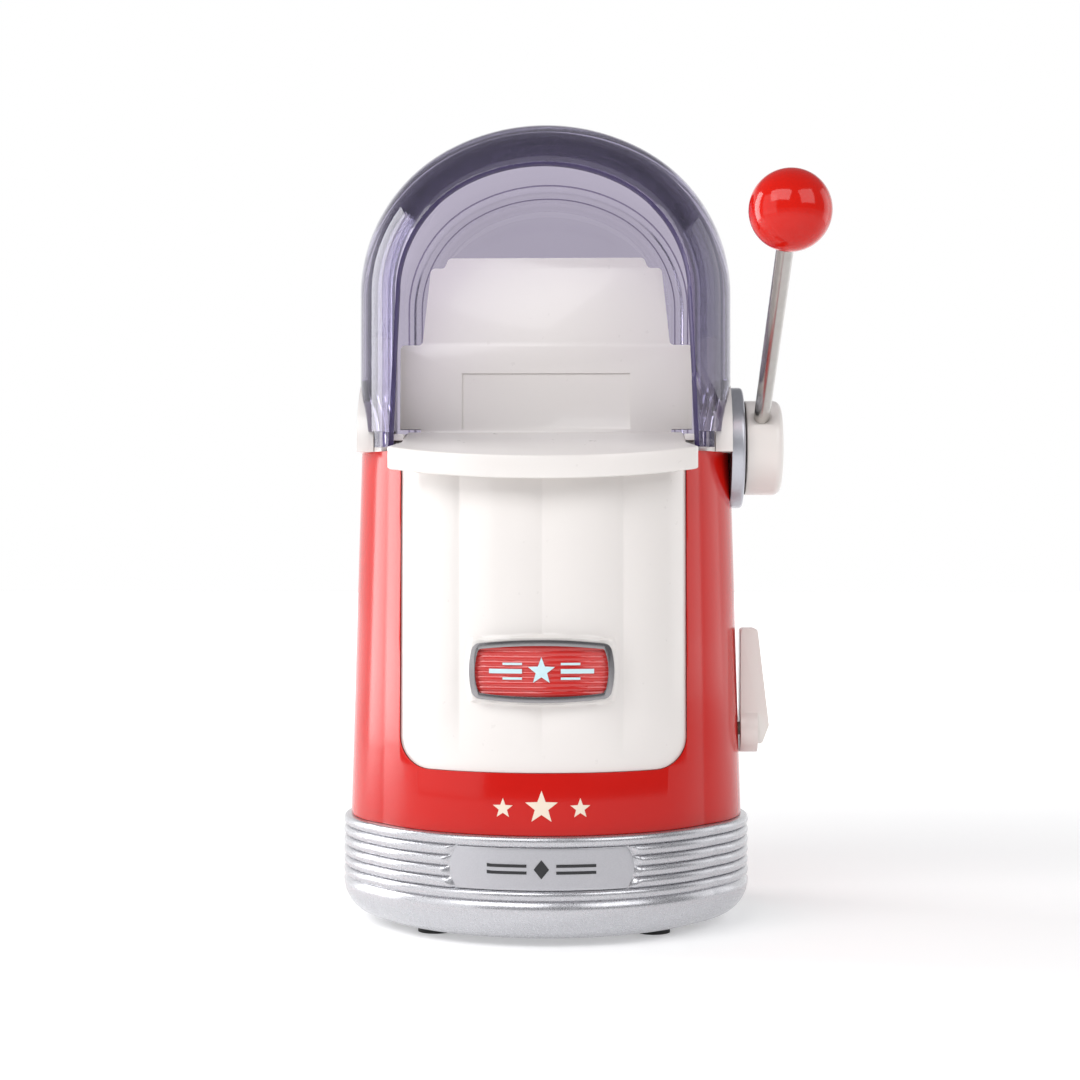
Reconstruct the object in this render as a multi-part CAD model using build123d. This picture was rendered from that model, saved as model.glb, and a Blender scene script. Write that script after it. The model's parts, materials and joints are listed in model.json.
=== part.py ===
from build123d import *
import math
import os

# Hot-air popcorn maker: a lobed red body on a ribbed base, a clear bubble dome with a serving
# mouth, and a side lever whose shaft tips a gate and pushes the popcorn out over the lip.
# Millimetres. +Z up, front towards -Y, lever on +X. The origin is the centre of the base on
# the table.

# ---- overall sizes
notch_round = 12.0          # radius along the bottom of each crease between two lobes
base_low = 3.0              # underside of the pan, above the table
base_top = 50.0
body_half_w = (93.0, 88.0)  # body, bottom and top
body_half_d = (84.5, 80.0)
body_notch_low = (73.5, 45.5)
body_notch_top = (71.0, 42.5)
body_top = 221.0
base_ledge = 3.5            # how far the base stands out past the foot of the body
base_notch_out = (4.3, 2.0)
collar_h = 9.0              # white collar on top of the body
dome_rise = 146.0           # from the top of the collar to the apex of the dome
dome_set_in = 0.4           # from the top of the body in to the wall of the dome

# ---- walls and clearances
shell_t = 2.5
pan_t = 2.5
deck_t = 3.0
dome_t = 2.5
seam = 0.3                  # between covers that only face each other
rest_gap = 0.3              # between the dome and what it stands on
run_gap = 0.05              # radial, a shaft in its bush

# ---- base ribs
rib_count = 6
rib_pitch = 4.75
rib_round = 1.9
pan_round = 16.5
plate_half_w = 38.8
plate_t = 1.2
plate_sink = 2.4

# ---- front opening and fluted panel
front_half_w = 65.0
front_low = 77.4
front_corner_r = 14.0
panel_drop = 13.0           # from the top of the body down to the top of the panel
opening_seam = 0.15
panel_sink = 1.0
panel_t = 3.0
flute_x = (-37.0, 0.0, 36.0)
flute_deep = 1.9
flute_fade = 24.0

# ---- badge
badge_w = 64.0
badge_h = 27.6
badge_z = 122.5
badge_t = 3.4
badge_rim = 2.6
pad_t = 1.2

# ---- lever shaft
axis_up = 3.0               # shaft axis above the top of the body
shaft_r = 4.0
bush_wall = 2.5
saddle_r = 33.0
saddle_t = 7.8
saddle_set_in = 0.7         # from the side of the body in to the outer face of the saddle
blind_end = 2.4             # wall left outside the hidden left bush
flange_r = 28.8
flange_t = 6.2
washer_r = 23.4
washer_t = 0.6
hub_r = 22.5
hub_t = 17.4
hub_gap = 0.4
rod_r = 3.75
rod_seat = 8.0              # how far the rod goes into the hub wall and into the ball
ball_r = 17.5
lever_len = 156.0           # shaft axis to ball centre
lever_lean = 53.0           # degrees forward of upright
lever_splay = 1.4           # degrees outward

# ---- gate
gate_lean = 4.0             # degrees backward
gate_t = 3.0
gate_front = -2.0
gate_foot = 9.0
gate_side_gap = 2.6         # from the gate's wide part to the guard beside it
gate_wide_top = 49.6
gate_step = 10.5            # the gate narrows by this at its wide top and at its crown
gate_shoulder = 87.0
gate_crown = 92.0
gate_barrel_in = 10.0       # the barrel ends this far inside the wide part
gate_corner_r = 2.2
gate_rib_half_t = 1.0
gate_screw_r = 1.3
barrel_wall = 2.5

# ---- serving ramp
ramp_set_in = 5.0           # the ramp is this much narrower than the gate, each side
ramp_rear = -18.0
ramp_slope = math.tan(math.radians(10.5))
lip_end_y = -65.0
lip_end_up = 1.1            # the lip's ends above the top of the body
lip_front_y = -93.0
lip_drop = 10.2
lip_t = 2.5

# ---- dome
dome_shoulder_off = 9.6     # centre of the shoulder arc off the middle
dome_crown_more = 20.0      # the crown arc's radius is this much more than the shoulder's
dome_front_round = 45.0
dome_rear_round = 36.0
dome_front_flat = -11.0     # where the front rounding begins
dome_rear_flat = 22.0
mouth_y = -46.0             # mouth plane at the collar
mouth_tilt = 2.2            # degrees, top forward
tab_y = -38.0               # the mouth's legs hang below the collar in front of this
tab_drop = 7.2

# ---- side guards beside the gate
guard_t = 9.4
guard_set_in = 6.0          # from the side of the body in to the guard's outer face
guard_y = (-5.0, 13.0)
guard_up = 53.0             # above the shaft axis

# ---- popping chamber and blower, on one upright air axis
air_y = 33.0
chamber_r = 37.0
chamber_t = 1.0
chamber_low = 112.0
chamber_drop = 7.0          # its rim below the top of the body
chamber_flange_w = 5.0
slot_half_w = 1.4
slot_h = 14.0
gasket_t = 1.5
skirt_t = 4.0
slot_count = 16
duct_gap = 5.6              # from the chamber bore out to the duct bore
duct_t = 1.6
duct_low = 84.0
duct_lid = 2.0
housing_low = 54.0
housing_floor = 2.0
intake_r = 20.0
impeller_gap = 4.6
blade_turn = 38.0           # degrees
blade_half_t = 0.6
bracket_screw_x = 36.0
impeller_low = 60.0
impeller_h = 18.0
blade_count = 14
motor_r = 17.0
motor_low = 14.0
motor_top = 46.0
motor_shaft_r = 1.6
bracket_t = 2.0

# ---- power knob
knob_z = 90.0
knob_boss_r = 11.3
knob_reach = 10.87          # from the body's side out to the foot of the grip
knob_top = 138.0
spindle_r = 3.0
switch_size = (11.0, 18.0, 20.0)

# ---- screws and feet
base_screw_in = (25.0, 28.0)    # in from the foot of the body's side, and off the centre line
deck_screw_in = (13.0, 30.0)    # in from the top of the body's side, and off the centre line
screw_gap = 0.2
head_gap = 0.3
screw_r = 1.8
screw_head_r = 3.4
boss_r = 4.4
foot_at = (50.0, 40.0)
foot_r = 8.0
grille_r = 36.0
board_at = (0.0, -56.0)
terminal_at = (-6.0, 60.0)
gland_hole_r = 6.0
gland_x = -40.0
gland_z = 33.0

# ---- what follows from the sizes above
base_half_w = body_half_w[0] + base_ledge
base_half_d = body_half_d[0] + base_ledge
base_notch = (body_notch_low[0] + base_notch_out[0], body_notch_low[1] + base_notch_out[1])
collar_top = body_top + collar_h
panel_top = body_top - panel_drop
cut_low, cut_high = body_top - 21.0, body_top + 39.0    # what is cut at the deck reaches this far
dome_half_w = body_half_w[1] - dome_set_in
dome_top = collar_top + dome_rise
dome_shoulder_r = dome_half_w - dome_shoulder_off
dome_crown_r = dome_shoulder_r + dome_crown_more
axis_z = body_top + axis_up
saddle_out = body_half_w[1] - saddle_set_in
saddle_in = saddle_out - saddle_t
guard_out = body_half_w[1] - guard_set_in
guard_in = guard_out - guard_t
guard_top = axis_z + guard_up
gate_wide = guard_in - gate_side_gap
gate_narrow = gate_wide - gate_step
gate_crown_half = gate_narrow - gate_step
gate_barrel_half = gate_wide - gate_barrel_in
gate_rib_x = [(gate_barrel_half - 8.0) * k / 2 for k in range(-2, 3)]
gate_screw_x = gate_barrel_half - 20.0
ramp_half = gate_wide - ramp_set_in
lip_half = gate_wide
lip_end_z = body_top + lip_end_up
chamber_top = body_top - chamber_drop
chamber_flange_r = chamber_r + chamber_flange_w
duct_r = chamber_r + duct_gap
impeller_r = duct_r - impeller_gap
base_screw_at = (body_half_w[0] - base_screw_in[0], base_screw_in[1])
deck_screw_at = (body_half_w[1] - deck_screw_in[0], deck_screw_in[1])
bush_r = shaft_r + bush_wall
flange_out = saddle_out + 0.1 + flange_t
hub_in = flange_out + washer_t + hub_gap
FLOOR = (Align.CENTER, Align.CENTER, Align.MIN)


# ---- plain shapes
def block(x0, x1, y0, y1, z0, z1):
    return Pos((x0 + x1) / 2, (y0 + y1) / 2, (z0 + z1) / 2) * Box(x1 - x0, y1 - y0, z1 - z0)


def disc(r, z0, z1, x=0.0, y=0.0):
    return Pos(x, y, z0) * Cylinder(r, z1 - z0, align=FLOOR)


def tube(r_out, r_in, z0, z1, x=0.0, y=0.0):
    return disc(r_out, z0, z1, x, y) - disc(r_in, z0 - 1, z1 + 1, x, y)


def x_disc(r, x0, x1, y=0.0, z=axis_z):
    return Pos(x0, y, z) * (Rot(0, 90, 0) * Cylinder(r, x1 - x0, align=FLOOR))


def y_disc(r, y0, y1, x, z):
    return Pos(x, y0, z) * (Rot(-90, 0, 0) * Cylinder(r, y1 - y0, align=FLOOR))


def side_prism(points, x0, x1):
    """Extrude an outline given as (y, z) points from x0 to x1."""
    face = Pos(x0, 0, 0) * (Plane.YZ * make_face(Polyline(*points, close=True)))
    return extrude(face, x1 - x0, dir=(1, 0, 0))


def front_prism(face, y0, y1):
    """Extrude a face drawn as (x, z) from y0 to y1."""
    return extrude(Pos(0, y0, 0) * (Plane.XZ * face), y1 - y0, dir=(0, 1, 0))


def four(at):
    return [(sx * at[0], sy * at[1]) for sx in (-1, 1) for sy in (-1, 1)]


def join(shapes):
    shapes = list(shapes)
    whole = shapes[0]
    for shape in shapes[1:]:
        whole = whole + shape
    return whole


def group(shapes):
    return Compound(children=list(shapes))


# ---- the four-lobed plan
def lobe_radius(half, notch_along, notch_across):
    rise = half - notch_along
    return (notch_across ** 2 + rise ** 2) / (2 * rise)


def notch_point(half_w, half_d, notch, inset):
    """The crease in the +X +Y corner, with both lobe arcs moved inward by inset."""
    r_side = lobe_radius(half_w, notch[0], notch[1])
    r_front = lobe_radius(half_d, notch[1], notch[0])
    a, b = r_side - inset, r_front - inset
    x0, y1 = half_w - r_side, half_d - r_front
    gap = math.hypot(x0, y1)
    along = (a * a - b * b + gap * gap) / (2 * gap)
    off = math.sqrt(a * a - along * along)
    ux, uy = -x0 / gap, y1 / gap
    foot = (x0 + along * ux, along * uy)
    return max([(foot[0] - s * off * uy, foot[1] + s * off * ux) for s in (-1, 1)], key=sum)


def lobed(half_w, half_d, notch, inset=0.0, z=0.0):
    nx, ny = notch_point(half_w, half_d, notch, inset)
    w, d = half_w - inset, half_d - inset
    arcs = [ThreePointArc((-nx, -ny), (0, -d), (nx, -ny)),
            ThreePointArc((nx, -ny), (w, 0), (nx, ny)),
            ThreePointArc((nx, ny), (0, d), (-nx, ny)),
            ThreePointArc((-nx, ny), (-w, 0), (-nx, -ny))]
    plan = make_face(Wire(arcs))
    return Pos(0, 0, z) * fillet(plan.vertices(), notch_round + inset)


def base_plan(inset, z):
    return lobed(base_half_w, base_half_d, base_notch, inset, z)


def body_share(z):
    return (z - base_top) / (body_top - base_top)


def body_sizes(z):
    t = body_share(z)
    half_w = body_half_w[0] + t * (body_half_w[1] - body_half_w[0])
    half_d = body_half_d[0] + t * (body_half_d[1] - body_half_d[0])
    notch = [low + t * (top - low) for low, top in zip(body_notch_low, body_notch_top)]
    return half_w, half_d, notch


def body_plan(inset, z):
    half_w, half_d, notch = body_sizes(z)
    return lobed(half_w, half_d, notch, inset, z)


def body_volume(inset, z0=base_top, z1=body_top):
    return loft([body_plan(inset, z0), body_plan(inset, z1)], ruled=True)


# ---- base
def pillar_tops():
    return four(base_screw_at)


def base_pan():
    pan_top = base_top - rib_count * rib_pitch
    under = Pos(0, 0, base_low) * extrude(base_plan(0, 0), pan_top - base_low + 1)
    under = fillet(under.edges().group_by(Axis.Z)[0], pan_round)
    ribs = []
    for i in range(rib_count):
        rib = extrude(base_plan(0, pan_top + i * rib_pitch), rib_pitch)
        ends = rib.edges().group_by(Axis.Z)
        ribs.append(fillet(ends[0] + ends[-1], rib_round))
    under = under - block(-120, 120, -120, 120, pan_top, pan_top + 9)
    pan = under + join(ribs)
    inner = Pos(0, 0, base_low + pan_t) * extrude(base_plan(pan_t + rib_round, 0), 60)
    inner = fillet(inner.edges().group_by(Axis.Z)[0], pan_round - pan_t)
    inner = inner - block(-120, 120, -120, 120, base_top - shell_t, 120)
    pan = pan - inner - body_volume(shell_t, base_top - shell_t - 1, base_top + 1)
    face_cut = extrude(base_plan(-1, 0), 60) - extrude(base_plan(plate_sink, 0), 60)
    z0, z1 = plate_span()
    pan = pan - (face_cut & block(-plate_half_w - 0.4, plate_half_w + 0.4, -100, 0, z0, z1))
    for x, y in pillar_tops():
        pan = pan + disc(boss_r + 0.6, base_low + 0.4, base_top, x, y)
    for x, y in pillar_tops():
        pan = pan - disc(screw_r + screw_gap, 0, base_top + 1, x, y)
        pan = pan - disc(screw_head_r + head_gap, 0, base_low + pan_t, x, y)
    pan = pan - disc(grille_r + 0.1, 0, base_low + pan_t + 1, 0, 0)
    for x, y in four(foot_at):
        pan = pan - disc(2.5, 0, base_low + pan_t + 1, x, y)
    return pan - y_disc(gland_hole_r, 60, 100, gland_x, gland_z)


def plate_span():
    pan_top = base_top - rib_count * rib_pitch
    return pan_top + rib_pitch, base_top - rib_pitch


def name_plate():
    z0, z1 = plate_span()
    ring = extrude(base_plan(plate_sink - plate_t, 0), 60) - extrude(base_plan(plate_sink, 0), 60)
    return ring & block(-plate_half_w, plate_half_w, -100, 0, z0 + 0.2, z1 - 0.2)


def intake_grille():
    grille = disc(grille_r, base_low, base_low + pan_t)
    grille = grille + tube(grille_r + 3, grille_r - 2, base_low + pan_t, base_low + pan_t + 1.5)
    for i in range(-5, 6):
        half = math.sqrt((grille_r - 6) ** 2 - (5.4 * i) ** 2)
        grille = grille - block(-half, half, 5.4 * i - 1.3, 5.4 * i + 1.3, 0, 9)
    return grille


def rubber_feet():
    feet = [disc(foot_r, 0, base_low, x, y) + disc(2.5, base_low, base_low + pan_t, x, y)
            for x, y in four(foot_at)]
    return group(feet)


def base_screws():
    tip = base_top + 12
    screws = []
    for x, y in pillar_tops():
        screw = disc(screw_head_r, base_low + 0.5, base_low + pan_t, x, y)
        screws.append(screw + disc(screw_r, base_low + pan_t, tip, x, y))
    return group(screws)


def cord_gland():
    wall_y = math.sqrt(lobe_radius(base_half_d, base_notch[1], base_notch[0]) ** 2 - gland_x ** 2)
    wall_y += base_half_d - lobe_radius(base_half_d, base_notch[1], base_notch[0])
    gland = y_disc(gland_hole_r, wall_y - 14, wall_y + 3.8, gland_x, gland_z)
    gland = gland + y_disc(gland_hole_r + 2.5, wall_y + 3.8, wall_y + 5.8, gland_x, gland_z)
    gland = gland + y_disc(gland_hole_r + 2, wall_y - 16, wall_y - 14, gland_x, gland_z)
    return gland - y_disc(3.5, wall_y - 20, wall_y + 20, gland_x, gland_z)


# ---- red body
def front_opening(grow, z_top):
    half, low = front_half_w + grow, front_low - grow
    hole = block(-half, half, -100, -40, low, z_top)
    corners = hole.edges().filter_by(Axis.Y).group_by(Axis.Z)[0]
    return fillet(corners, front_corner_r + grow)


def body_shell():
    shell = body_volume(0) - body_volume(shell_t)
    shell = shell - front_opening(0, cut_high)
    keep = body_volume(0.5)
    for x, y in pillar_tops():
        side = 1 if x > 0 else -1
        web = block(min(x, x + side * 30), max(x, x + side * 30), y - 1.2, y + 1.2,
                    base_top, base_top + 14)
        shell = shell + ((web + disc(boss_r, base_top, base_top + 14, x, y)) & keep)
    for x, y in four(deck_screw_at):
        side = 1 if x > 0 else -1
        web = block(min(x, x + side * 30), max(x, x + side * 30), y - 1.2, y + 1.2,
                    body_top - 16, body_top)
        shell = shell + ((web + disc(boss_r, body_top - 16, body_top, x, y)) & keep)
    for x, y in pillar_tops():
        shell = shell - disc(screw_r, base_top - 1, base_top + 13, x, y)
    for x, y in four(deck_screw_at):
        shell = shell - disc(screw_r, body_top - 13, body_top + 1, x, y)
    shell = shell - x_disc(flange_r + seam, saddle_out, 120)
    shell = shell - x_disc(bush_r + 2, 60, 120)
    return shell - x_disc(spindle_r + 1, 60, 120, 0, knob_z)


# ---- fluted front panel
def panel_section(z, deep):
    half_w, half_d, notch = body_sizes(z)
    r = lobe_radius(half_d, notch[1], notch[0])
    y_mid = half_d - r

    def on_arc(x, out):
        radius = r - panel_sink + out
        return (x, -(y_mid + math.sqrt(radius ** 2 - x * x)))

    half = front_half_w - opening_seam
    xs = [-half, *flute_x, half]
    arcs = [ThreePointArc(on_arc(a, 0), on_arc((a + b) / 2, deep), on_arc(b, 0))
            for a, b in zip(xs, xs[1:])]
    arcs.append(Line(on_arc(half, 0), on_arc(half, -panel_t)))
    arcs.append(ThreePointArc(on_arc(half, -panel_t), on_arc(0, -panel_t), on_arc(-half, -panel_t)))
    arcs.append(Line(on_arc(-half, -panel_t), on_arc(-half, 0)))
    return Pos(0, 0, z) * make_face(Wire(arcs))


def chute_panel():
    low, mid = front_low - 4, front_low + flute_fade
    skin = loft([panel_section(low, 0.05), panel_section(mid, flute_deep)], ruled=True)
    skin = skin + loft([panel_section(mid, flute_deep), panel_section(panel_top, flute_deep)],
                       ruled=True)
    skin = skin & front_opening(-opening_seam, panel_top)
    z0 = front_low - 5
    rear = body_volume(shell_t + 0.05, z0, panel_top) - body_volume(shell_t + 2.0, z0, panel_top)
    rear = rear & block(-front_half_w - 2.4, front_half_w + 2.4, -100, -20, z0, panel_top)
    pad = badge_band(0, pad_t) & badge_outline(1.6, -100, -40)
    return skin + rear + pad


def badge_band(inner, outer):
    """A bowed upright slab in front of the flutes, measured outward from their valleys."""
    half_w, half_d, notch = body_sizes(badge_z)
    r = lobe_radius(half_d, notch[1], notch[0]) - panel_sink
    y = -(half_d - panel_sink) + r
    z0, z1 = badge_z - badge_h, badge_z + badge_h
    return Pos(0, y, 0) * (disc(r + outer + flute_deep, z0, z1) - disc(r + inner, z0 - 1, z1 + 1))


def badge_outline(grow, y0, y1):
    w, h = badge_w / 2 + grow, badge_h / 2 + grow
    bow, pull = 0.86, 0.94
    pts = [(-w * pull, -h * bow), (0, -h), (w * pull, -h * bow),
           (w * pull, h * bow), (0, h), (-w * pull, h * bow)]
    edges = [ThreePointArc(pts[0], pts[1], pts[2]), ThreePointArc(pts[2], (w, 0), pts[3]),
             ThreePointArc(pts[3], pts[4], pts[5]), ThreePointArc(pts[5], (-w, 0), pts[0])]
    prism = front_prism(Pos(0, badge_z, 0) * make_face(Wire(edges)), y0, y1)
    return fillet(prism.edges().filter_by(Axis.Y), 4.0 + grow)


def badge_frame():
    band = badge_band(pad_t + flute_deep, pad_t + badge_t)
    return (band & badge_outline(0, -120, -40)) - badge_outline(-badge_rim, -120, -40)


def badge_insert():
    band = badge_band(pad_t + flute_deep, pad_t + badge_t - 1.4)
    return band & badge_outline(-badge_rim - 0.05, -120, -40)


# ---- white deck
def gate_slot():
    return block(-gate_wide - 1.5, gate_wide + 1.5, -15.0, 9.0, collar_top - 12, cut_high)


def chamber_hole(r, z0, z1):
    return disc(r, z0, z1, 0, air_y) & block(-90, 90, 9.5, 53.0, z0, z1)


def deck():
    collar = extrude(body_plan(0, body_top), collar_h) - extrude(body_plan(deck_t, body_top), 20)
    floor_z = collar_top - 1 - deck_t
    floor = Pos(0, 0, floor_z) * extrude(lobed_top(deck_t / 2), deck_t)
    body = collar + floor
    body = body - block(-ramp_half, ramp_half, -120, ramp_rear + 4, cut_low, cut_high)
    tab_reach = gate_wide + 8.0
    body = body - block(-tab_reach, tab_reach, -120, tab_y + 0.5, cut_low, cut_high)
    body = body + (extrude(lobed_top(shell_t + 0.4, body_top - 5), 9)
                   - extrude(lobed_top(shell_t + 2.4, body_top - 6), 20)
                   - block(-150, 150, -120, 40, cut_low, cut_high))
    for s in (-1, 1):
        x0, x1 = sorted((s * saddle_in, s * saddle_out))
        arch = x_disc(saddle_r, x0, x1) & block(-150, 150, -40, 40, body_top, axis_z + 76)
        x0, x1 = sorted((s * saddle_in, s * (saddle_in + 5)))
        body = body + arch + block(x0, x1, -12, 12, axis_z - 14, body_top + 1)
        x0, x1 = sorted((s * guard_in, s * guard_out))
        guard = block(x0, x1, *guard_y, collar_top - 2, guard_top)
        guard = fillet(guard.edges().group_by(Axis.Z)[-1], 2.5)
        body = body + guard
        x0, x1 = sorted((s * (gate_barrel_half + 2), s * saddle_in))
        body = body - x_disc(bush_r + 2, x0, x1)
    body = body - x_disc(flange_r + seam, saddle_out, 120)
    body = body - gate_slot() - chamber_hole(chamber_r, cut_low, cut_high)
    skirt = tube(chamber_flange_r, chamber_flange_r - skirt_t, chamber_top + gasket_t,
                 floor_z + 0.5, 0, air_y)
    body = body + (skirt - gate_slot() - block(-100, 100, -40, 9.0, cut_low, cut_high))
    for x, y in four(deck_screw_at):
        body = body + disc(boss_r, body_top, floor_z + 0.5, x, y)
    for x, y in four(deck_screw_at):
        body = body - disc(screw_r + screw_gap, cut_low, cut_high, x, y)
        body = body - disc(screw_head_r + head_gap, floor_z + deck_t - 2.2, cut_high, x, y)
    body = body - x_disc(bush_r, saddle_in - 1, 120)
    return body - x_disc(bush_r, -saddle_out + blind_end, -saddle_in + 1)


def lobed_top(inset, z=0.0):
    return lobed(body_half_w[1], body_half_d[1], body_notch_top, inset, z)


def deck_screws():
    seat = collar_top - 1 - 2.2
    screws = []
    for x, y in four(deck_screw_at):
        head = disc(screw_head_r, seat, seat + 1.8, x, y)
        screws.append(head + disc(screw_r, body_top - 12, seat, x, y))
    return group(screws)


# ---- serving ramp and lip
def ramp_z(y):
    return lip_end_z + (y - lip_end_y) * ramp_slope


def ramp_plan(inset):
    side = ramp_half - 0.1
    wide, front = lip_half - inset, lip_front_y + inset
    edges = [Line((-side, ramp_rear), (side, ramp_rear)),
             Line((side, ramp_rear), (side, tab_y - 13)),
             Line((side, tab_y - 13), (wide, lip_end_y)),
             ThreePointArc((wide, lip_end_y), (0, front), (-wide, lip_end_y)),
             Line((-wide, lip_end_y), (-side, tab_y - 13)),
             Line((-side, tab_y - 13), (-side, ramp_rear))]
    return make_face(Wire(edges))


def ramp_slab(z_from, z_to):
    far, near = -120.0, 0.0
    side = [(far, ramp_z(far) + z_from), (near, ramp_z(near) + z_from),
            (near, ramp_z(near) + z_to), (far, ramp_z(far) + z_to)]
    return side_prism(side, -100, 100)


def serving_ramp():
    plan = Pos(0, 0, cut_low - 10) * extrude(ramp_plan(0), 70)
    ramp = plan & ramp_slab(-lip_t, 0)
    rim = plan - Pos(0, 0, cut_low - 11) * extrude(ramp_plan(lip_t), 80)
    rim = rim & block(-150, 150, -120, lip_end_y, cut_low - 20, cut_high) & ramp_slab(-lip_drop, -0.5)
    return ramp + rim


# ---- lever shaft and its bearings
def shaft_bush(side):
    if side > 0:
        return x_disc(bush_r, saddle_in, flange_out - 0.5) - x_disc(shaft_r + run_gap, 60, 120)
    low = -saddle_out + blind_end
    return x_disc(bush_r, low, -saddle_in) - x_disc(shaft_r + run_gap, low + 1, -60)


def hub_escutcheon():
    plate = x_disc(flange_r, flange_out - flange_t, flange_out)
    rim = plate.edges().group_by(Axis.X)[-1]
    plate = fillet(rim, 1.6)
    return plate - x_disc(bush_r, 60, 120)


def hub_washer():
    return x_disc(washer_r, flange_out, flange_out + washer_t) - x_disc(shaft_r + 0.5, 60, 120)


def lever_hub():
    hub = x_disc(hub_r, hub_in, hub_in + hub_t)
    hub = fillet(hub.edges().group_by(Axis.X)[-1], 4.0)
    hub = fillet(hub.edges().group_by(Axis.X)[0], 0.8)
    hub = hub - x_disc(shaft_r, 60, hub_in + hub_t - 5)
    hub = hub - x_disc(1.5, 60, 120)
    hub = hub - x_disc(4.2, hub_in + hub_t - 2.2, 120)
    return hub - rod_solid(rod_r)


def lever_line():
    lean, splay = math.radians(lever_lean), math.radians(lever_splay)
    along = Vector(math.sin(splay), -math.sin(lean) * math.cos(splay),
                   math.cos(lean) * math.cos(splay))
    start = Vector(hub_in + hub_t * 0.38, 0, axis_z)
    return start, along


def on_lever(distance):
    start, along = lever_line()
    return start + along * distance


def rod_solid(r):
    low = hub_r - rod_seat
    frame = Plane(origin=on_lever(low), z_dir=lever_line()[1])
    return frame * Cylinder(r, lever_len - ball_r + rod_seat - low, align=FLOOR)


def lever_rod():
    return rod_solid(rod_r)


def ball_knob():
    ball = Pos(*on_lever(lever_len)) * Sphere(ball_r)
    return ball - rod_solid(rod_r)


def hub_screw():
    seat = hub_in + hub_t - 2.2
    screw = x_disc(4.0, seat, seat + 1.8) + x_disc(1.5, seat - 9, seat)
    return screw - block(seat + 0.9, 130, -2.4, 2.4, axis_z - 0.5, axis_z + 0.5)


def drive_shaft():
    shaft = x_disc(shaft_r, -saddle_out + blind_end + 1.2, hub_in + hub_t - 5)
    return shaft - x_disc(1.5, hub_in + hub_t - 11.4, 130)


def shaft_clips():
    clips = []
    for s in (-1, 1):
        x0, x1 = sorted((s * (saddle_in - 0.3), s * (saddle_in - 1.5)))
        clips.append(x_disc(shaft_r + 2.2, x0, x1) - x_disc(shaft_r, -120, 120))
    return group(clips)


# ---- gate
def upright(shape):
    """Turn a gate drawn upright over the shaft to its backward lean."""
    return Pos(0, 0, axis_z) * (Rot(-gate_lean, 0, 0) * shape)


def gate_outline():
    right = [(gate_wide, gate_foot), (gate_wide, gate_wide_top), (gate_narrow, gate_wide_top),
             (gate_narrow - 4, gate_shoulder), (gate_crown_half, gate_shoulder),
             (gate_crown_half - 2, gate_crown)]
    return right + [(-x, z) for x, z in reversed(right)]


def gate():
    face = make_face(Polyline(*gate_outline(), close=True))
    plate = front_prism(face, gate_front, gate_front + gate_t)
    corners = [e for e in plate.edges().filter_by(Axis.Y) if e.center().Z > gate_foot + 1]
    plate = fillet(corners, gate_corner_r)
    recess = gate_screw_x + 0.3
    plate = plate - block(-recess, recess, -9, gate_front + 0.9, 0, 36)
    barrel_r = shaft_r + barrel_wall
    half = gate_barrel_half
    barrel = x_disc(barrel_r, -half, half, 0, 0)
    web = block(-half, half, gate_front, gate_front + gate_t, 0, gate_foot)
    body = plate + barrel + web
    for x in gate_rib_x:
        side = [(gate_front + gate_t, gate_foot), (gate_front + gate_t, 78),
                (gate_front + gate_t + 1.5, 78), (barrel_r, gate_foot), (barrel_r, 0), (0, 0)]
        body = body + side_prism(side, x - gate_rib_half_t, x + gate_rib_half_t)
    body = body - x_disc(shaft_r, -120, 120, 0, 0)
    for x in (-gate_screw_x, gate_screw_x):
        body = body - y_disc(gate_screw_r, -20, 20, x, 0)
    return upright(body)


def gate_screws():
    reach = shaft_r + barrel_wall
    screws = []
    for x in (-gate_screw_x, gate_screw_x):
        screw = y_disc(2.4, reach, reach + 1.6, x, 0) + y_disc(gate_screw_r, shaft_r, reach, x, 0)
        screws.append(upright(screw))
    return group(screws)


def coil(radius, wire_r, pitch, turns):
    """An upright helical coil of round wire, from z = 0."""
    path = Helix(pitch, pitch * turns, radius)
    section = Plane(path @ 0, z_dir=path % 0) * Circle(wire_r)
    return sweep(section, path=path, is_frenet=True)


def return_spring():
    return Pos(-gate_barrel_half - 12.5, 0, axis_z) * (Rot(0, 90, 0) * coil(6.4, 0.6, 1.6, 5))


# ---- dome
def arch_half(x_half, inset):
    """Right half of the arch: upright wall, shoulder arc, crown arc, from the wall to the apex."""
    crown, shoulder = dome_crown_r - inset, dome_shoulder_r - inset
    apex = dome_top - inset
    crown_c = apex - crown
    shoulder_x = x_half - inset - shoulder
    drop = math.sqrt((crown - shoulder) ** 2 - shoulder_x ** 2)
    shoulder_z = crown_c + drop
    ux, uz = shoulder_x / (crown - shoulder), drop / (crown - shoulder)
    join_at = (shoulder_x + shoulder * ux, shoulder_z + shoulder * uz)
    half_angle = math.atan2(uz, ux) / 2
    mid = (shoulder_x + shoulder * math.cos(half_angle), shoulder_z + shoulder * math.sin(half_angle))
    return apex, join_at, mid, (x_half - inset, shoulder_z)


def arch_solid(inset, z_low, y0, y1):
    apex, join_at, mid, spring = arch_half(dome_half_w, inset)
    wall = spring[0]
    left = [(-p[0], p[1]) for p in (join_at, mid, spring)]
    edges = [Line((-wall, z_low), (wall, z_low)), Line((wall, z_low), spring),
             ThreePointArc(spring, mid, join_at), ThreePointArc(join_at, (0, apex), left[0]),
             ThreePointArc(left[0], left[1], left[2]), Line(left[2], (-wall, z_low))]
    return front_prism(make_face(Wire(edges)), y0, y1)


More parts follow.
